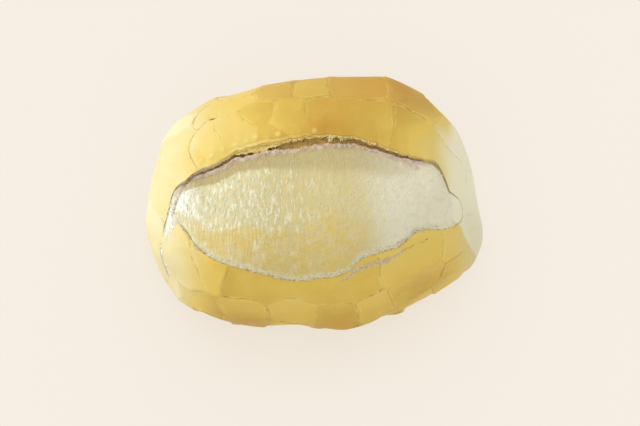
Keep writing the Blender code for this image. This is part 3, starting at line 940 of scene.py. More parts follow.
    def crumb_masks(self, full: np.ndarray, flat: dict[str, np.ndarray]) -> dict[str, np.ndarray]:
        """Works out what the finish of the crumb reads.

        Args:
            full: Points of the full outline.
            flat: Their layout.

        Returns:
            Where the crumb is part of the ledge, deep in the gap, under the lip's painted shadow, stained,
            and whitened at the left (partly its own paleness, partly a painted highlight), from 0 to 1.
        """
        slash, along, share = self.slash, flat["along"] / MM, flat["share"]
        wavy = waves(full, 9.0, 31.0)
        # Painted shadow: the lip's cast shadow on the belly, as a band below the ledge.
        reach = np.interp(along, *zip(*self.painted_shadow_reach))
        softness = 0.7 + 4.6 * smooth_step((along + 32) / 30)
        shade = 1 - smooth_step((flat["below"] - reach) / softness + 0.5)
        low = smooth_step((0.4 + 0.1 * wavy + 0.08 * bell((along - 4) / 14) - share) / 0.1)
        middle = smooth_step((along + 50) / 8) * smooth_step((28 - along) / 22)
        # The whitened left end is partly the crumb's own paleness and partly a painted highlight from the
        # lamp on the left.
        white = smooth_step((-44 - along + 3 * wavy) / 8) * smooth_step((share - 0.3) / 0.15)
        gap = slash.gap(along)
        end = smooth_step((self.patches_over(self.ledge_end, full) - 0.4) / 0.4) * (share < 0.99)
        ledge = smooth_step((share - slash.ledge_share + slash.ledge_shift * gap) / 0.012)
        deep = smooth_step((share - 1 + slash.gap_floor * gap) / 0.006 + 0.5)
        return {
            "ledge": np.maximum(ledge * slash.ledge(along), end) * flat["torn"],
            "deep": deep * flat["torn"],
            "shade": shade * np.interp(along, *zip(*self.painted_shadow_amount)),
            "stain": low * middle,
            "white": np.maximum(white, smooth_step((-53 - along) / 2)),
        }

    def spots(self, weight: np.ndarray, count: int, draw: np.random.Generator) -> "Spots":
        """Draws places on the skin.

        Args:
            weight: How likely each corner of the grid is, with the grid's shape.
            count: How many places to draw.
            draw: The source of random numbers.

        Returns:
            The places, a little beside the drawn corners.
        """
        inner = weight[1:-1, 1:-1].ravel()
        chosen = draw.choice(len(inner), count, p=inner / inner.sum())
        rows, columns = np.unravel_index(chosen, (self.sections - 2, self.point_count - 2))
        return self.spots_at(rows + 1, columns + 1, draw.uniform(-0.5, 0.5, (2, count)))

    def spots_at(self, rows: np.ndarray, columns: np.ndarray, beside: np.ndarray) -> "Spots":
        """Finds places next to given corners of the grid.

        Args:
            rows: The corners' sections.
            columns: Their places round the section.
            beside: Shares of a cell to move them by, along and round the roll.

        Returns:
            The places.
        """
        along_it = (self.surface[rows + 1, columns] - self.surface[rows - 1, columns]) / 2
        round_it = (self.surface[rows, columns + 1] - self.surface[rows, columns - 1]) / 2
        normals = np.cross(along_it, round_it)
        normals /= np.linalg.norm(normals, axis=1)[:, None]
        points = self.surface[rows, columns] + along_it * beside[0][:, None] + round_it * beside[1][:, None]
        runs = round_it / np.linalg.norm(round_it, axis=1)[:, None]
        return Spots(points, normals, runs, rows, columns)

    def mesh(self, corners: np.ndarray, attributes: dict[str, np.ndarray]) -> bpy.types.Mesh:
        """Joins the corners into a closed mesh with a fan at each end.

        Args:
            corners: All corners, section by section.
            attributes: Numbers for each corner, by name, to store on the mesh.

        Returns:
            The mesh.
        """
        count, rows = self.point_count, self.sections
        ring = np.arange(count)
        after = (ring + 1) % count
        starts = np.arange(rows - 1)[:, None] * count
        nexts = starts + count
        quads = np.stack([starts + ring, starts + after, nexts + after, nexts + ring], axis=-1)
        tips = [corners[:count].mean(0), corners[-count:].mean(0)]
        tips[0][0], tips[1][0] = -self.form.half_length, self.form.half_length
        last = (rows - 1) * count
        faces = quads.reshape(-1, 4).tolist()
        faces += [(rows * count, int(b), int(a)) for a, b in zip(ring, after)]
        faces += [(rows * count + 1, int(last + a), int(last + b)) for a, b in zip(ring, after)]
        mesh = bpy.data.meshes.new("roll_skin")
        mesh.from_pydata(np.concatenate([corners, tips]).tolist(), [], faces)
        for name, values in attributes.items():
            ends = [values[:count].mean(), values[-count:].mean()]
            layer = mesh.attributes.new(name, "FLOAT", "POINT")
            layer.data.foreach_set("value", np.concatenate([values, ends]).astype(np.float32))
        mesh.update()
        mesh.shade_smooth()
        return mesh


@dataclass
class Spots:
    """Places on the skin, with the skin's outward direction and the direction round the roll."""

    points: np.ndarray
    normals: np.ndarray
    runs: np.ndarray
    rows: np.ndarray
    columns: np.ndarray


class Grower:
    """Geometry Nodes that put a small rough blob on every point of a mesh."""

    def __init__(self) -> None:
        """Builds the tree: its named inputs, then its nodes in order."""
        self.tree = bpy.data.node_groups.new("grow_blobs", "GeometryNodeTree")
        inputs = (
            ("Geometry", "NodeSocketGeometry"), ("Detail", "NodeSocketInt"),
            ("Roughness", "NodeSocketFloat"), ("Grain", "NodeSocketFloat"), ("Seed", "NodeSocketFloat"),
            ("Finish", "NodeSocketMaterial"),
        )
        for name, kind in inputs:
            self.tree.interface.new_socket(name, in_out="INPUT", socket_type=kind)
        self.tree.interface.new_socket("Geometry", in_out="OUTPUT", socket_type="NodeSocketGeometry")
        given = self.tree.nodes.new("NodeGroupInput").outputs
        facing, run, size = (self.attribute(name) for name in ("facing", "run", "size"))
        blob = self.node("GeometryNodeMeshIcoSphere", {"Radius": 1.0, "Subdivisions": given["Detail"]})
        upright = self.node("FunctionNodeAlignRotationToVector", {"Vector": facing}, axis="Z")
        turned = {"Rotation": upright, "Vector": run}
        turned = self.node("FunctionNodeAlignRotationToVector", turned, axis="Y", pivot_axis="Z")
        placed = {"Points": given["Geometry"], "Instance": blob, "Rotation": turned, "Scale": size}
        many = self.node("GeometryNodeInstanceOnPoints", placed)
        solid = self.node("GeometryNodeRealizeInstances", [many])
        noise_in = {"W": given["Seed"], "Scale": given["Grain"]}
        bumps = self.node("ShaderNodeTexNoise", noise_in, noise_dimensions="4D")
        bumps = self.node("ShaderNodeMath", [bumps, 0.5], operation="SUBTRACT")
        bumps = self.node("ShaderNodeMath", [bumps, given["Roughness"]], operation="MULTIPLY")
        out = {0: self.node("GeometryNodeInputNormal", {}), "Scale": bumps}
        out = self.node("ShaderNodeVectorMath", out, operation="SCALE")
        shaped = self.node("GeometryNodeSetPosition", {"Geometry": solid, "Offset": out})
        smooth = self.node("GeometryNodeSetShadeSmooth", {"Geometry": shaped})
        dressed = self.node("GeometryNodeSetMaterial", {"Geometry": smooth, "Material": given["Finish"]})
        self.tree.links.new(dressed, self.tree.nodes.new("NodeGroupOutput").inputs[0])

    def node(
        self, kind: str, values: "dict[str | int, object] | list[object]", **settings: str
    ) -> bpy.types.NodeSocket:
        """Adds a node to the tree.

        Args:
            kind: The node's type.
            values: What goes in its sockets, by name or in order: numbers or other nodes' outputs.
            settings: Its own settings.

        Returns:
            Its first output.
        """
        made = self.tree.nodes.new(kind)
        for name, value in settings.items():
            setattr(made, name, value)
        for name, value in values.items() if isinstance(values, dict) else enumerate(values):
            if isinstance(value, bpy.types.NodeSocket):
                self.tree.links.new(value, made.inputs[name])
            else:
                made.inputs[name].default_value = value
        return made.outputs[0]

    def attribute(self, name: str) -> bpy.types.NodeSocket:
        """A vector kept on the points."""
        return self.node("GeometryNodeInputNamedAttribute", {"Name": name}, data_type="FLOAT_VECTOR")

    def grow(
        self, name: str, spots: Spots, sizes: np.ndarray, inputs: dict[str, object]
    ) -> bpy.types.Object:
        """Grows a blob on each spot.

        Args:
            name: Name of the piece.
            spots: Where the blobs go.
            sizes: Half widths of each blob, across, along its run and outward, in metres.
            inputs: Values of the tree's inputs, by name.

        Returns:
            The blobs as one plain mesh object.
        """
        mesh = bpy.data.meshes.new(name)
        mesh.from_pydata(spots.points.tolist(), [], [])
        for key, values in (("facing", spots.normals), ("run", spots.runs), ("size", sizes)):
            mesh.attributes.new(key, "FLOAT_VECTOR", "POINT").data.foreach_set("vector", values.ravel())
        piece = bpy.data.objects.new(name, mesh)
        bpy.context.scene.collection.objects.link(piece)
        modifier = piece.modifiers.new("grow", "NODES")
        modifier.node_group = self.tree
        for item in self.tree.interface.items_tree:
            if item.in_out == "INPUT" and item.name in inputs:
                modifier[item.identifier] = inputs[item.name]
        shown = bpy.context.evaluated_depsgraph_get()
        grown = bpy.data.meshes.new_from_object(piece.evaluated_get(shown))
        piece.modifiers.clear()
        piece.data = grown
        bpy.data.meshes.remove(mesh)
        grown.name = name
        return piece


class Lay(Enum):
    """Which way long blobs lie on the skin."""

    ROUND = "round the roll"
    CRACKS = "along the nearest crack"


@dataclass
class Blobs:
    """One kind of small blob on the skin: crumbs, fibres, tips or slivers of crust. Sizes are in mm."""

    name: str
    count: int
    smallest: tuple[float, float, float]
    largest: tuple[float, float, float]
    roughness: float
    grain: float
    seed: int
    sway: float = 0.0
    lift: float = 0.0
    detail: int = 1
    tilt: float = 0.0
    lay: Lay = Lay.ROUND

    def grow(
        self, grower: Grower, skin: RollSkin, weight: np.ndarray, finish: bpy.types.Material
    ) -> bpy.types.Object:
        """Grows the blobs.

        Args:
            grower: The Geometry Nodes that shape them.
            skin: The skin that they sit on.
            weight: How likely each corner of the skin's grid is to get one.
            finish: Their material.

        Returns:
            The piece.
        """
        draw = np.random.default_rng(self.seed)
        spots = skin.spots(weight, self.count, draw)
        if self.lay is Lay.CRACKS:
            spots.runs = skin.crack_run[spots.rows, spots.columns]
        spots.normals = spots.normals + draw.normal(0, self.tilt, (self.count, 3))
        spots.normals /= np.linalg.norm(spots.normals, axis=1)[:, None]
        aside = np.cross(spots.normals, spots.runs)
        turn = draw.normal(0, self.sway, self.count)[:, None]
        spots.runs = spots.runs * np.cos(turn) + aside * np.sin(turn)
        share = draw.random(self.count)[:, None] ** 2
        low, high = np.array(self.smallest) * MM, np.array(self.largest) * MM
        sizes = low + (high - low) * share
        sizes *= draw.uniform(0.75, 1.25, sizes.shape)
        spots.points = spots.points + spots.normals * self.lift * MM
        inputs = {
            "Detail": self.detail, "Roughness": self.roughness * MM, "Grain": 1 / (self.grain * MM),
            "Seed": float(self.seed), "Finish": finish,
        }
        return grower.grow(self.name, spots, sizes, inputs)


@dataclass
class LipFlake:
    """A thin flake of crust that hangs from the lip's edge over the ledge."""

    name: str
    start: float
    end: float
    reach: float
    thickness: float = 0.3 * MM
    depth: float = 3.3 * MM
    dip: float = 0.5 * MM
    steps: int = 120
    layers: int = 14
    ragged: float = 0.35
    seed: float = 0.0

    def build(self, skin: RollSkin, finish: bpy.types.Material) -> bpy.types.Object:
        """Makes the flake.

        Args:
            skin: The skin whose lip it hangs from.
            finish: Its material.

        Returns:
            The piece, a closed sheet.
        """
        upper, lower = [], []
        for along in np.linspace(self.start, self.end, self.steps) * MM:
            share = (along / MM - self.start) / (self.end - self.start)
            _, lip = skin.slash.edges(float(along))
            size = float(skin.form.size(along))
            torn = noise.noise(Vector((along / (0.8 * MM), self.seed, 0.1))) * self.ragged
            torn += noise.noise(Vector((along / (2.6 * MM), self.seed, 5.3))) * self.ragged
            hang = self.reach * math.sin(math.pi * share) ** 0.6 + torn * min(1, 6 * share, 6 * (1 - share))
            down = np.linspace(-0.4, max(hang, 0), self.layers) * MM
            angle = lip - down / size
            points = skin.form.outline(along, angle)
            normals = skin.form.normal(np.full(len(angle), along), angle)
            points = points + skin.form.lump_height(points)[:, None] * normals
            depth = self.depth + self.dip * (down / (self.reach * MM)) ** 2
            curl = noise.noise(Vector((along / (3.0 * MM), self.seed, 9.1))) * 0.3 * MM
            upper.append(points - (depth + curl)[:, None] * normals)
            edge = self.thickness * np.linspace(1, 0.35, self.layers)
            lower.append(points - (depth + curl + edge)[:, None] * normals)
        return self.sheet(np.array(upper), np.array(lower), finish)

    def sheet(self, upper: np.ndarray, lower: np.ndarray, finish: bpy.types.Material) -> bpy.types.Object:
        """Closes the two faces of the flake into one mesh.

        Args:
            upper: Corners of the upper face, by rows.
            lower: Corners of the lower face, by rows.
            finish: The material.

        Returns:
            The piece.
        """
        rows, columns = upper.shape[:2]
        number = np.arange(rows * columns).reshape(rows, columns)
        under = number + rows * columns
        faces: list[tuple[int, ...]] = []
        for i in range(rows - 1):
            for j in range(columns - 1):
                faces.append((number[i, j], number[i, j + 1], number[i + 1, j + 1], number[i + 1, j]))
                faces.append((under[i, j], under[i + 1, j], under[i + 1, j + 1], under[i, j + 1]))
        around = [*number[0, :], *number[1:, -1], *number[-1, -2::-1], *number[-2:0:-1, 0]]
        for a, b in zip(around, around[1:] + around[:1]):
            faces.append((b, a, a + rows * columns, b + rows * columns))
        mesh = bpy.data.meshes.new(self.name)
        corners = np.concatenate([upper.reshape(-1, 3), lower.reshape(-1, 3)])
        mesh.from_pydata(corners.tolist(), [], [tuple(int(c) for c in face) for face in faces])
        bm = bmesh.new()
        bm.from_mesh(mesh)
        bmesh.ops.recalc_face_normals(bm, faces=bm.faces)
        bm.to_mesh(mesh)
        bm.free()
        mesh.shade_smooth()
        mesh.materials.append(finish)
        flake = bpy.data.objects.new(self.name, mesh)
        bpy.context.scene.collection.objects.link(flake)
        return flake


class Wire:
    """A shader value. Python's operators on it add Math nodes."""

    def __init__(self, finish: "Finish", socket: bpy.types.NodeSocket) -> None:
        """Wraps one output socket of a finish's tree."""
        self.finish = finish
        self.socket = socket

    def math(self, operation: str, *others: "Wire | float") -> "Wire":
        """Adds a Math node that works on this value and the others."""
        return self.finish.node("ShaderNodeMath", {"operation": operation}, [self, *others])

    def __add__(self, other: "Wire | float") -> "Wire":
        """Sum."""
        return self.math("ADD", other)

    __radd__ = __add__

    def __mul__(self, other: "Wire | float") -> "Wire":
        """Product."""
        return self.math("MULTIPLY", other)

    __rmul__ = __mul__

    def __sub__(self, other: "Wire | float") -> "Wire":
        """Difference."""
        return self.math("SUBTRACT", other)

    def __rsub__(self, other: float) -> "Wire":
        """Difference from a number."""
        return self.finish.node("ShaderNodeMath", {"operation": "SUBTRACT"}, [other, self])

    def __abs__(self) -> "Wire":
        """Size without its sign."""
        return self.math("ABSOLUTE")

    def most(self, other: "Wire | float") -> "Wire":
        """The larger of two values."""
        return self.math("MAXIMUM", other)

    def eased(self, low: float, high: float) -> "Wire":
        """Eases from 0 to 1 as this value goes from low to high.

        Args:
            low: Where it is still 0.
            high: Where it has come to 1. This may be the smaller of the two.

        Returns:
            The eased value.
        """
        if high < low:
            return 1 - self.eased(high, low)
        settings = {"interpolation_type": "SMOOTHSTEP"}
        return self.finish.node("ShaderNodeMapRange", settings, [self, low, high])


class Finish:
    """A procedural material under construction."""

    def __init__(self, name: str) -> None:
        """Starts an empty material.

        Args:
            name: The material's name.
        """
        self.material = bpy.data.materials.new(name)
        self.material.use_nodes = True
        self.tree = self.material.node_tree
        self.tree.nodes.clear()
        self.place = self.node("ShaderNodeTexCoord", output="Object")

    def node(
        self,
        kind: str,
        settings: dict[str, object] | None = None,
        values: "dict[str, object] | list[object] | None" = None,
        output: str | int = 0,
    ) -> Wire:
        """Adds a node.

        Args:
            kind: The node's type.
            settings: Its own settings. The key "stops" sets a ramp's stops, as (place, colour) pairs.
            values: What goes in its sockets, by name or in order: numbers, colours or wires.
            output: Which of its outputs to return.

        Returns:
            The chosen output.
        """
        made = self.tree.nodes.new(kind)
        for name, value in (settings or {}).items():
            if name == "stops":
                self.set_stops(made, value)
            else:
                setattr(made, name, value)
        pairs = values.items() if isinstance(values, dict) else enumerate(values or [])
        for name, value in pairs:
            if isinstance(value, Wire):
                self.tree.links.new(value.socket, made.inputs[name])
            elif value is not None:
                made.inputs[name].default_value = value
        return Wire(self, made.outputs[output])

    @staticmethod
    def set_stops(ramp: bpy.types.Node, stops: list[tuple[float, Colour]]) -> None:
        """Gives a colour ramp its stops.

        Args:
            ramp: The ramp's node.
            stops: Places from 0 to 1, and their colours.
        """
        elements = ramp.color_ramp.elements
        while len(elements) < len(stops):
            elements.new(0.5)
        for element, (position, colour) in zip(elements, stops):
            element.position = position
            element.color = colour

    def attribute(self, name: str) -> Wire:
        """A number kept on the mesh."""
        return self.node("ShaderNodeAttribute", {"attribute_name": name}, output="Fac")

    def ramp(self, factor: Wire, stops: list[tuple[float, Colour]]) -> Wire:
        """A colour from a row of stops."""
        return self.node("ShaderNodeValToRGB", {"stops": stops}, [factor], "Color")

    def mix(self, factor: "Wire | float", first: "Wire | Colour", second: "Wire | Colour") -> Wire:
        """A blend of two colours."""
        values = {0: factor, 6: first, 7: second}
        return self.node("ShaderNodeMix", {"data_type": "RGBA"}, values, 2)

    def stretched(self, scale: tuple[float, float, float]) -> Wire:
        """Object coordinates with a scale for each axis."""
        return self.node("ShaderNodeMapping", None, {"Vector": self.place, "Scale": scale}, "Vector")

    def grain(self, size: float, detail: float = 2.0, vector: Wire | None = None) -> Wire:
        """Noise from about 0 to 1, with waves of a size in mm."""
        values = {"Vector": vector or self.place, "Scale": 1 / (size * MM), "Detail": detail}
        return self.node("ShaderNodeTexNoise", None, values, "Fac")

    def close(
        self, colour: Wire | Colour, roughness: Wire | float, height: Wire | None, fixed: dict[str, object]
    ) -> bpy.types.Material:
        """Finishes the material.

        Args:
            colour: Base colour.
            roughness: Roughness.
            height: Height of the bumps, in mm, or None.
            fixed: Values of the shader's other sockets.

        Returns:
            The material.
        """
        values = {"Base Color": colour, "Roughness": roughness, **fixed}
        if height is not None:
            bump = {"Strength": 1.0, "Distance": MM, "Height": height}
            values["Normal"] = self.node("ShaderNodeBump", None, bump, "Normal")
        shader = self.node("ShaderNodeBsdfPrincipled", None, values, "BSDF")
        self.node_out(shader)
        return self.material

    def node_out(self, shader: Wire) -> None:
        """Sends a shader to the material's surface."""
        out = self.tree.nodes.new("ShaderNodeOutputMaterial")
        self.tree.links.new(shader.socket, out.inputs["Surface"])


@dataclass(frozen=True)
class CrustTones:
    """Colours of the crust, from unbrowned to well browned, and a painted shade for the lower right end."""

    raw: Colour = srgb(224, 219, 190)
    pale: Colour = srgb(220, 207, 154)
    straw: Colour = srgb(213, 189, 107)
    golden: Colour = srgb(213, 183, 82)
    tan: Colour = srgb(193, 158, 60)
    amber: Colour = srgb(186, 136, 40)
    rim: Colour = srgb(236, 218, 150)
    crack: Colour = srgb(140, 108, 52)
    pit: Colour = srgb(120, 92, 52)
    fold: Colour = srgb(176, 120, 40)
    bits: Colour = srgb(184, 164, 118)
    fringe: Colour = srgb(207, 191, 146)
    # Painted shade for the lower near side of the right end.
    painted_end_shade: Colour = srgb(196, 190, 152)


@dataclass(frozen=True)
class CrumbTones:
    """Colours of the torn crumb."""

    cream: Colour = srgb(205, 194, 149)
    white: Colour = srgb(248, 247, 236)
    beige: Colour = srgb(199, 185, 134)
    pale: Colour = srgb(218, 212, 184)
    # Colour of the lip's shadow painted on the crumb.
    shade: Colour = srgb(176, 160, 112)
    stain: Colour = srgb(204, 180, 98)
    olive: Colour = srgb(207, 195, 104)
    dusk: Colour = srgb(204, 186, 164)
    lilac: Colour = srgb(206, 188, 174)
    inner: Colour = srgb(216, 184, 108)
    toasted: Colour = srgb(222, 192, 112)
    groove: Colour = srgb(196, 174, 152)
    outline: Colour = srgb(150, 142, 80)
    grey: Colour = srgb(150, 142, 120)
    crumbs: Colour = srgb(184, 156, 116)


@dataclass(frozen=True)
class SkinFinish:
    """The finish of the whole skin, crust and crumb."""

    crust: CrustTones = CrustTones()
    crumb: CrumbTones = CrumbTones()
    crack_half_width: float = 0.16
    grid_half: float = 0.4
    crust_roughness: float = 0.5
    crumb_roughness: float = 0.85

    def crust_colour(self, finish: Finish, along: Wire, line: Wire, side: Wire) -> Wire:
        """Blends the browned crust with its cracks, light rims, blisters with a painted highlight, pits and
        strips, and a painted shade on the lower right end.

        Args:
            finish: The material.
            along: Place along the roll, in mm.
            line: Distance from the nearest crack, in mm.
            side: The same distance, with a sign for its side.

        Returns:
            The colour.
        """
        tones = self.crust
        mottle = finish.grain(9, 3) - 0.5
        fine = finish.grain(1.1, 3) - 0.5
        browned = finish.attribute("browning") + mottle * 0.16 + fine * 0.07
        browned = browned + finish.attribute("tone") * 0.065
        stops = [
            (0.0, tones.raw), (0.25, tones.pale), (0.45, tones.straw), (0.62, tones.golden),
            (0.8, tones.tan), (1.0, tones.amber),
        ]
        colour = finish.ramp(browned, stops)
        broken = finish.grain(3.5, 3).eased(0.42, 0.6)
        shown = finish.attribute("shown")
        rim = side.eased(-0.05, 0.1) * side.eased(0.55, 0.15) * shown * (0.08 + broken * 0.34)
        # The blisters are lightened towards the rim colour: a painted highlight on them.
        colour = finish.mix(rim.most(finish.attribute("blister").eased(0.1, 0.5) * 0.4), colour, tones.rim)
        dark = line.eased(self.crack_half_width * 1.4, self.crack_half_width * 0.4) * (1 - broken) * shown
        colour = finish.mix(dark * 0.6, colour, tones.crack)
        from_lip = finish.attribute("from_lip")
        fold = abs(from_lip - 1.5 - (finish.grain(7, 2) - 0.5) * 2.0)
        beside = along.eased(-34, -28) * along.eased(6, -4) * from_lip.eased(0.1, 0.3)
        edge = from_lip.eased(1.8, 0.9) * beside * (0.05 + along.eased(-4, -12) * 0.2)
        colour = finish.mix(edge, colour, tones.rim)
        colour = finish.mix(fold.eased(0.35, 0.1) * beside * 0.28, colour, tones.fold)
        split = (finish.attribute("split") + fine * 0.4).eased(0.62, 0.86)
        colour = finish.mix(split * (0.4 + broken * 0.4), colour, tones.crack)
        strip = (finish.attribute("strip") + fine * 0.9).eased(0.35, 0.65)
        bits = finish.mix(finish.grain(0.9, 2).eased(0.45, 0.6), tones.bits, tones.fringe)
        colour = finish.mix(strip * 0.9, colour, bits)
        # Painted shade: the lower near side of the right end is darkened, as the lamp lights from the left.
        low = finish.node("ShaderNodeSeparateXYZ", None, [finish.place], "Y") * (1 / MM)
        colour = finish.mix(low.eased(-4, -26) * along.eased(50, 60) * 0.5, colour, tones.painted_end_shade)
        return finish.mix((finish.attribute("pit") + fine * 0.6).eased(0.55, 0.75), colour, tones.pit)

    def crumb_colour(self, finish: Finish, along: Wire) -> Wire:
        """Blends the torn crumb: whitened at the left, partly its own paleness and partly a painted
        highlight, stained low in the middle, with the lip's shadow painted below the ledge and painted
        shadows between the strands at the left end.

        Args:
            finish: The material.
            along: Place along the roll, in mm.

        Returns:
            The colour.
        """
        tones, share = self.crumb, finish.attribute("share")
        stretched = finish.stretched((1.0, 0.25, 0.25))
        colour = finish.mix(along.eased(-40, -4), tones.cream, tones.beige)
        colour = finish.mix(along.eased(10, 30), colour, tones.pale)
        streaks = finish.grain(1.0, 3, stretched).eased(0.5, 0.68)
        colour = finish.mix(streaks * along.eased(20, -30) * 0.5, colour, tones.white)
        # Whitened left end: partly the crumb's own paleness, partly a painted highlight.
        colour = finish.mix(finish.attribute("white") * 0.9, colour, tones.white)
        stain = finish.attribute("stain")
        cloud = finish.grain(5, 4)
        colour = finish.mix(stain * (0.3 + cloud.eased(0.35, 0.6) * 0.55), colour, tones.stain)
        spots = finish.grain(1.3, 3)
        colour = finish.mix(stain * spots.eased(0.55, 0.64) * 0.6, colour, tones.dusk)
        yellow = finish.grain(1.9, 3, finish.stretched((1.1, 0.9, 1.0))).eased(0.56, 0.68)
        colour = finish.mix(yellow * along.eased(-26, -8) * along.eased(34, 20) * 0.6, colour, tones.olive)
        # Painted shadow of the lip on the belly below the ledge.
        colour = finish.mix(finish.attribute("shade"), colour, tones.shade)
        seam = finish.attribute("from_seam")
        fringe = seam.eased(4.4, 1.8) * finish.grain(1.1, 3).eased(0.38, 0.56)
        colour = finish.mix(fringe * 0.75, colour, tones.pale)
        dashes = seam.eased(3.0, 2.2) * seam.eased(0.6, 1.2)
        dashes = dashes * finish.grain(2.2, 2, stretched).eased(0.6, 0.66)
        colour = finish.mix(dashes * 0.15, colour, tones.grey)
        wedge = abs(seam - 0.6).eased(0.6, 0.2) * along.eased(-52, -50) * along.eased(-42, -45)
        colour = finish.mix(wedge * 0.8, colour, tones.outline)
        soft = finish.grain(2.4, 3).eased(0.52, 0.66) * along.eased(2, 24)
        colour = finish.mix(soft * 0.3, colour, tones.dusk)
        crumbly = 0.3 + along.eased(-24, -8) * along.eased(30, 14) * 0.6
        crumbly = crumbly * finish.grain(2.0, 3).eased(0.38, 0.56)
        band = finish.mix(crumbly, tones.lilac, tones.crumbs)
        colour = finish.mix(finish.attribute("ledge") * 0.9, colour, band)
        deep = finish.attribute("deep") * along.eased(-50, -46)
        colour = finish.mix(deep, colour, tones.lilac)
        colour = finish.mix(deep * along.eased(-38, -30) * along.eased(48, 43), colour, tones.inner)
        edge = finish.attribute("sunk").eased(3.4, 2.9) * share.eased(0.96, 0.985) * along.eased(-40, -34)
        colour = finish.mix(edge * along.eased(48, 44), colour, tones.toasted)
        # Painted shadows: lilac streaks between the white strands at the left end.
        strands = finish.grain(0.9, 2, stretched).eased(0.5, 0.6) * along.eased(-51, -53)
        colour = finish.mix(strands * 0.5, colour, tones.lilac)
        return finish.mix(finish.attribute("crease").eased(0.35, 0.8) * 0.9, colour, tones.groove)

    def make(self) -> bpy.types.Material:
        """Makes the material.

        Returns:
            The material.
        """
        finish = Finish("crust_and_crumb")
        along = finish.node("ShaderNodeSeparateXYZ", None, [finish.place], "X") * (1 / MM)
        wobble = (finish.grain(1.6, 4) - 0.5) * 1.1
        crack, signed = finish.attribute("crack"), finish.attribute("crack_side") + wobble
        line = abs(signed).most(crack - self.grid_half - 0.6)
        side = signed.most(crack - self.grid_half - 0.6)
        ragged = (finish.grain(1.3, 4) - 0.5) * 3.0
        torn = (finish.attribute("from_seam") + ragged).eased(-0.2, 0.4)
        torn = torn * finish.attribute("torn").eased(0.02, 0.2)
        torn = torn.most((finish.attribute("furrow") + ragged * 0.08).eased(0.7, 1.1))
        crust = self.crust_colour(finish, along, line, side)
        colour = finish.mix(torn, crust, self.crumb_colour(finish, along))
        rounded = abs(finish.attribute("from_lip") + ragged * 0.15).eased(0.75, 0.3) * along.eased(44, 48)
        rounded = rounded * along.eased(53, 51)
        rounded = rounded.most((finish.attribute("lobe") + ragged * 0.05).eased(0.45, 0.8) * 0.7)
        colour = finish.mix(rounded * 0.8, colour, self.crumb.outline)
        groove = line.eased(self.crack_half_width * 2, 0) * -0.1 * finish.attribute("shown")
        crust_height = groove + finish.grain(0.9, 3) * 0.06 + finish.grain(0.25, 2) * 0.02
        left = along.eased(16, -36)
        fibres = finish.grain(0.8, 3, finish.stretched((1.0, 0.25, 0.25)))
        crumb_height = finish.grain(0.6, 4) * (0.34 - left * 0.1) + fibres * (0.04 + left * 0.5)
        crumb_height = crumb_height + finish.grain(2.4, 3) * 0.5
        height = crust_height * (1 - torn) + crumb_height * torn - rounded * 0.2
        roughness = torn * (self.crumb_roughness - self.crust_roughness) + self.crust_roughness
        fixed = {"Specular IOR Level": 0.35, "Subsurface Weight": 0.12, "Subsurface Scale": 0.0012}
        return finish.close(colour, roughness, height, fixed)


@dataclass(frozen=True)
class CrumbFinish:
    """The finish of loose bits: two colours that clouds blend."""

    name: str
    first: Colour
    second: Colour
    roughness: float = 0.8

    def make(self) -> bpy.types.Material:
        """Makes the material.

        Returns:
            The material.
        """
        finish = Finish(self.name)
        colour = finish.mix(finish.grain(1.6, 2).eased(0.4, 0.6), self.first, self.second)
        height = finish.grain(0.3, 2) * 0.05
        fixed = {"Specular IOR Level": 0.3, "Subsurface Weight": 0.15, "Subsurface Scale": 0.001}
        return finish.close(colour, self.roughness, height, fixed)


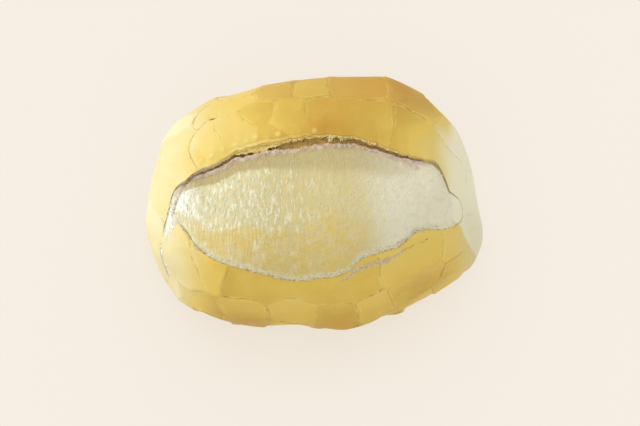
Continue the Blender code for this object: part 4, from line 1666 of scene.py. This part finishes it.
@dataclass
class Trimmings:
    """The small pieces on the skin."""

    skin: RollSkin
    flakes: tuple[LipFlake, ...] = (
        LipFlake("lip_flake", -30.5, -9.8, 2.3, ragged=0.6, seed=1.7),
    )

    def weights(self) -> dict[str, np.ndarray]:
        """Works out where each kind of blob may grow.

        Returns:
            How likely each corner of the skin is to carry a blob, by kind.
        """
        grid = self.skin.layout
        along, share, sunk = grid["along"] / MM, grid["share"], grid["sunk"]
        torn, seam = grid["torn"] * grid["opened"], grid["from_seam"]
        inside = torn * smooth_step((54 - np.abs(along)) / 6)
        middle = 0.35 + 0.65 * smooth_step((along + 14) / 6) * smooth_step((40 - along) / 8)
        face = inside * (share > 0.985) * (sunk > 2.5) * (sunk < 4.8) * (grid["deep"] > 0.5)
        left = smooth_step((0 - along) / 34)
        belly = torn * smooth_step((share - 0.3) / 0.2) * (share < 0.92) * (1 - grid["shade"])
        crack = (grid["crack"] < 0.35) * grid["cleared"]
        patchy = smooth_step(0.5 + 2 * np.sin(along * 1.3) * np.sin(along * 0.47 + 1))
        # Dark crumbs below the lip and the flake: a painted shadow.
        below_lip = inside * (share > 0.965) * (sunk > 3.4) * (along < -11) * smooth_step((along + 42) / 6)
        on_crust = (grid["torn"] < 0.5) * (grid["from_lip"] > -20) * (0.25 + bell((along + 12) / 30))
        return {
            "lip_crumbs": face * (sunk < 3.6) * middle,
            "lip_tips": face * (sunk > 2.9) * (bell((along - 7.8) / 1.1) + 0.3 * bell((along - 12) / 0.8)),
            "lip_shreds": face * (sunk > 2.8) * (sunk < 3.8) * bell((along - 8) / 16) * patchy,
            "painted_shadow_crumbs": below_lip * patchy,
            "ledge_crumbs": grid["ledge"] * (grid["deep"] < 0.2) * (sunk > 3.5) * (along < 36),
            "seam_crumbs": inside * bell((seam - 1.2) / 1.2) * (np.abs(along) < 46) * (share < 0.3),
            "strip_crumbs": grid["strip"] ** 2,
            "fibres": belly * left,
            "end_fibres": torn * (along < -52.5) * (along > -58.5),
            "gap_crumbs": face * (sunk > 3.6) + inside * grid["deep"] * (share < 1.0) * (sunk > 5),
            "crust_slivers": crack * grid["shown"] ** 3 * on_crust,
        }

    def build(self) -> list[bpy.types.Object]:
        """Makes all the small pieces.

        Returns:
            The pieces.
        """
        grower, weights = Grower(), self.weights()
        crumb = CrumbFinish("lip_crumb", srgb(228, 206, 140), srgb(204, 176, 104)).make()
        tip = CrumbFinish("lip_tip", srgb(244, 232, 184), srgb(230, 208, 142)).make()
        brown = CrumbFinish("gap_crumb", srgb(226, 190, 124), srgb(192, 156, 94)).make()
        # Colours of the dark crumbs that paint the shadow below the lip and the flake.
        dark = CrumbFinish("painted_shadow_crumb", srgb(158, 138, 90), srgb(126, 108, 66)).make()
        pale = CrumbFinish("pale_crumb", srgb(222, 216, 190), srgb(200, 190, 160)).make()
        lilac = CrumbFinish("ledge_crumb", srgb(210, 192, 176), srgb(186, 164, 136), 0.6).make()
        fibre = CrumbFinish("fibre", srgb(228, 226, 204), srgb(208, 200, 168)).make()
        flake = CrumbFinish("flake", srgb(210, 184, 108), srgb(192, 162, 84), 0.6).make()
        crust = CrumbFinish("crust_sliver", srgb(224, 200, 122), srgb(208, 178, 94), 0.5).make()
        tuft = {"sway": 0.5, "lift": 0.8, "detail": 2, "tilt": 0.3}
        cracks = {"sway": 0.25, "lay": Lay.CRACKS}
        kinds = (
            (Blobs("lip_crumbs", 900, (0.12, 0.12, 0.1), (0.36, 0.36, 0.4), 0.3, 0.3, 3), crumb),
            (Blobs("lip_tips", 52, (0.1, 0.16, 0.5), (0.2, 0.36, 2.0), 0.5, 0.5, 4, **tuft), tip),
            (Blobs("lip_shreds", 90, (0.14, 0.2, 0.3), (0.3, 0.4, 0.8), 0.4, 0.4, 12, detail=2), crumb),
            (Blobs("gap_crumbs", 900, (0.16, 0.16, 0.14), (0.5, 0.5, 0.45), 0.4, 0.4, 10), brown),
            # Dark crumbs that stand in for the shadow below the lip and the flake.
            (Blobs("painted_shadow_crumbs", 240, (0.12, 0.14, 0.1), (0.32, 0.36, 0.3), 0.4, 0.3, 13), dark),
            (Blobs("ledge_crumbs", 240, (0.2, 0.2, 0.12), (0.6, 0.45, 0.3), 0.35, 0.5, 5), lilac),
            (Blobs("seam_crumbs", 800, (0.12, 0.12, 0.08), (0.35, 0.3, 0.22), 0.3, 0.3, 6), pale),
            (Blobs("strip_crumbs", 110, (0.14, 0.14, 0.1), (0.4, 0.34, 0.26), 0.3, 0.3, 14), lilac),
            (Blobs("fibres", 700, (0.08, 0.5, 0.06), (0.16, 1.7, 0.14), 0.35, 0.7, 7, 0.28), fibre),
            (Blobs("end_fibres", 130, (0.1, 0.5, 0.08), (0.18, 1.1, 0.14), 0.25, 0.6, 8, 0.12), fibre),
            (Blobs("crust_slivers", 300, (0.1, 0.25, 0.06), (0.2, 0.9, 0.13), 0.2, 0.4, 9, **cracks), crust),
        )
        pieces = [kind.grow(grower, self.skin, weights[kind.name], finish) for kind, finish in kinds]
        return pieces + [sheet.build(self.skin, flake) for sheet in self.flakes]


@dataclass(frozen=True)
class Lamp:
    """One soft area lamp that points at the roll."""

    name: str
    direction: tuple[float, float, float]
    distance: float
    size: float
    power: float
    colour: tuple[float, float, float] = (1.0, 1.0, 1.0)

    def make(self, aim: Vector, lit: bpy.types.Collection) -> None:
        """Places the lamp.

        Args:
            aim: The point that it faces.
            lit: What it lights.
        """
        data = bpy.data.lights.new(self.name, "AREA")
        data.shape = "DISK"
        data.size = self.size
        data.energy = self.power
        data.color = self.colour
        lamp = bpy.data.objects.new(self.name, data)
        away = Vector(self.direction).normalized()
        lamp.location = aim + away * self.distance
        lamp.rotation_euler = away.to_track_quat("Z", "Y").to_euler()
        lamp.light_linking.receiver_collection = lit
        bpy.context.scene.collection.objects.link(lamp)


@dataclass
class Studio:
    """The floor, the lamps and the camera."""

    floor_size: float = 6.0
    floor_colour: Colour = srgb(246, 239, 228)
    floor_glow: float = 0.7
    world_colour: Colour = srgb(255, 255, 255)
    world_strength: float = 1.0
    azimuth: float = -5.2
    elevation: float = 67.0
    distance: float = 0.75
    seen_width: float = 0.2512
    sensor: float = 36.0
    target: tuple[float, float, float] = (0.0, 0.0, 0.032)
    shift_right: float = 2.94 * MM
    shift_up: float = -7.65 * MM
    lamps: tuple[Lamp, ...] = (
        Lamp("key", (-0.80, 0.40, 0.48), 1.2, 0.16, 6.9),
    )

    def floor(self) -> None:
        """Lays the pale floor."""
        half = self.floor_size / 2
        mesh = bpy.data.meshes.new("floor")
        corners = [(-half, -half, 0), (half, -half, 0), (half, half, 0), (-half, half, 0)]
        mesh.from_pydata(corners, [], [(0, 1, 2, 3)])
        finish = Finish("floor")
        lit = tuple(part * (1 - self.floor_glow) for part in self.floor_colour[:3])
        glow = {"Emission Color": self.floor_colour, "Emission Strength": self.floor_glow}
        mesh.materials.append(finish.close((*lit, 1.0), 0.9, None, {"Specular IOR Level": 0.0, **glow}))
        floor = bpy.data.objects.new("floor", mesh)
        bpy.context.scene.collection.objects.link(floor)

    def light(self, pieces: list[bpy.types.Object]) -> None:
        """Sets the soft light all round, and the lamps.

        Args:
            pieces: What the lamps light. They leave out the floor.
        """
        lit = bpy.data.collections.new("lit_pieces")
        for piece in pieces:
            lit.objects.link(piece)
        world = bpy.data.worlds.new("studio")
        bpy.context.scene.world = world
        world.use_nodes = True
        background = world.node_tree.nodes["Background"]
        background.inputs["Color"].default_value = self.world_colour
        background.inputs["Strength"].default_value = self.world_strength
        for lamp in self.lamps:
            lamp.make(Vector(self.target), lit)

    def camera(self) -> None:
        """Places the camera at the photograph's viewing angle."""
        data = bpy.data.cameras.new("camera")
        data.sensor_width = self.sensor
        data.lens = self.sensor * self.distance / self.seen_width
        camera = bpy.data.objects.new("camera", data)
        turn, tilt = math.radians(self.azimuth), math.radians(self.elevation)
        back = Vector((math.sin(turn) * math.cos(tilt), -math.cos(turn) * math.cos(tilt), math.sin(tilt)))
        right = Vector((math.cos(turn), math.sin(turn), 0))
        aim = Vector(self.target) + right * self.shift_right + back.cross(right) * self.shift_up
        camera.location = aim + back * self.distance
        camera.rotation_euler = back.to_track_quat("Z", "Y").to_euler()
        bpy.context.scene.collection.objects.link(camera)
        bpy.context.scene.camera = camera
        bpy.context.scene.view_settings.view_transform = "Standard"


def clear_scene() -> None:
    """Removes Blender's own first objects."""
    for old in list(bpy.data.objects):
        bpy.data.objects.remove(old)


def main() -> None:
    """Builds and dresses the roll, then its surroundings."""
    logging.basicConfig(level=logging.INFO, format="%(name)s: %(message)s")
    clear_scene()
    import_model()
    form = RollForm()
    skin = RollSkin(form, Slash(form), CrustPlates(form))
    roll = skin.build()
    roll.data.materials.append(SkinFinish().make())
    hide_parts(NODE)
    pieces = [roll, *Trimmings(skin).build()]
    for piece in pieces:
        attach(piece, BODY)
        log.info("%s: %d faces", piece.name, len(piece.data.polygons))
    studio = Studio()
    studio.floor()
    studio.light(pieces)
    studio.camera()


if __name__ == "__main__":
    main()
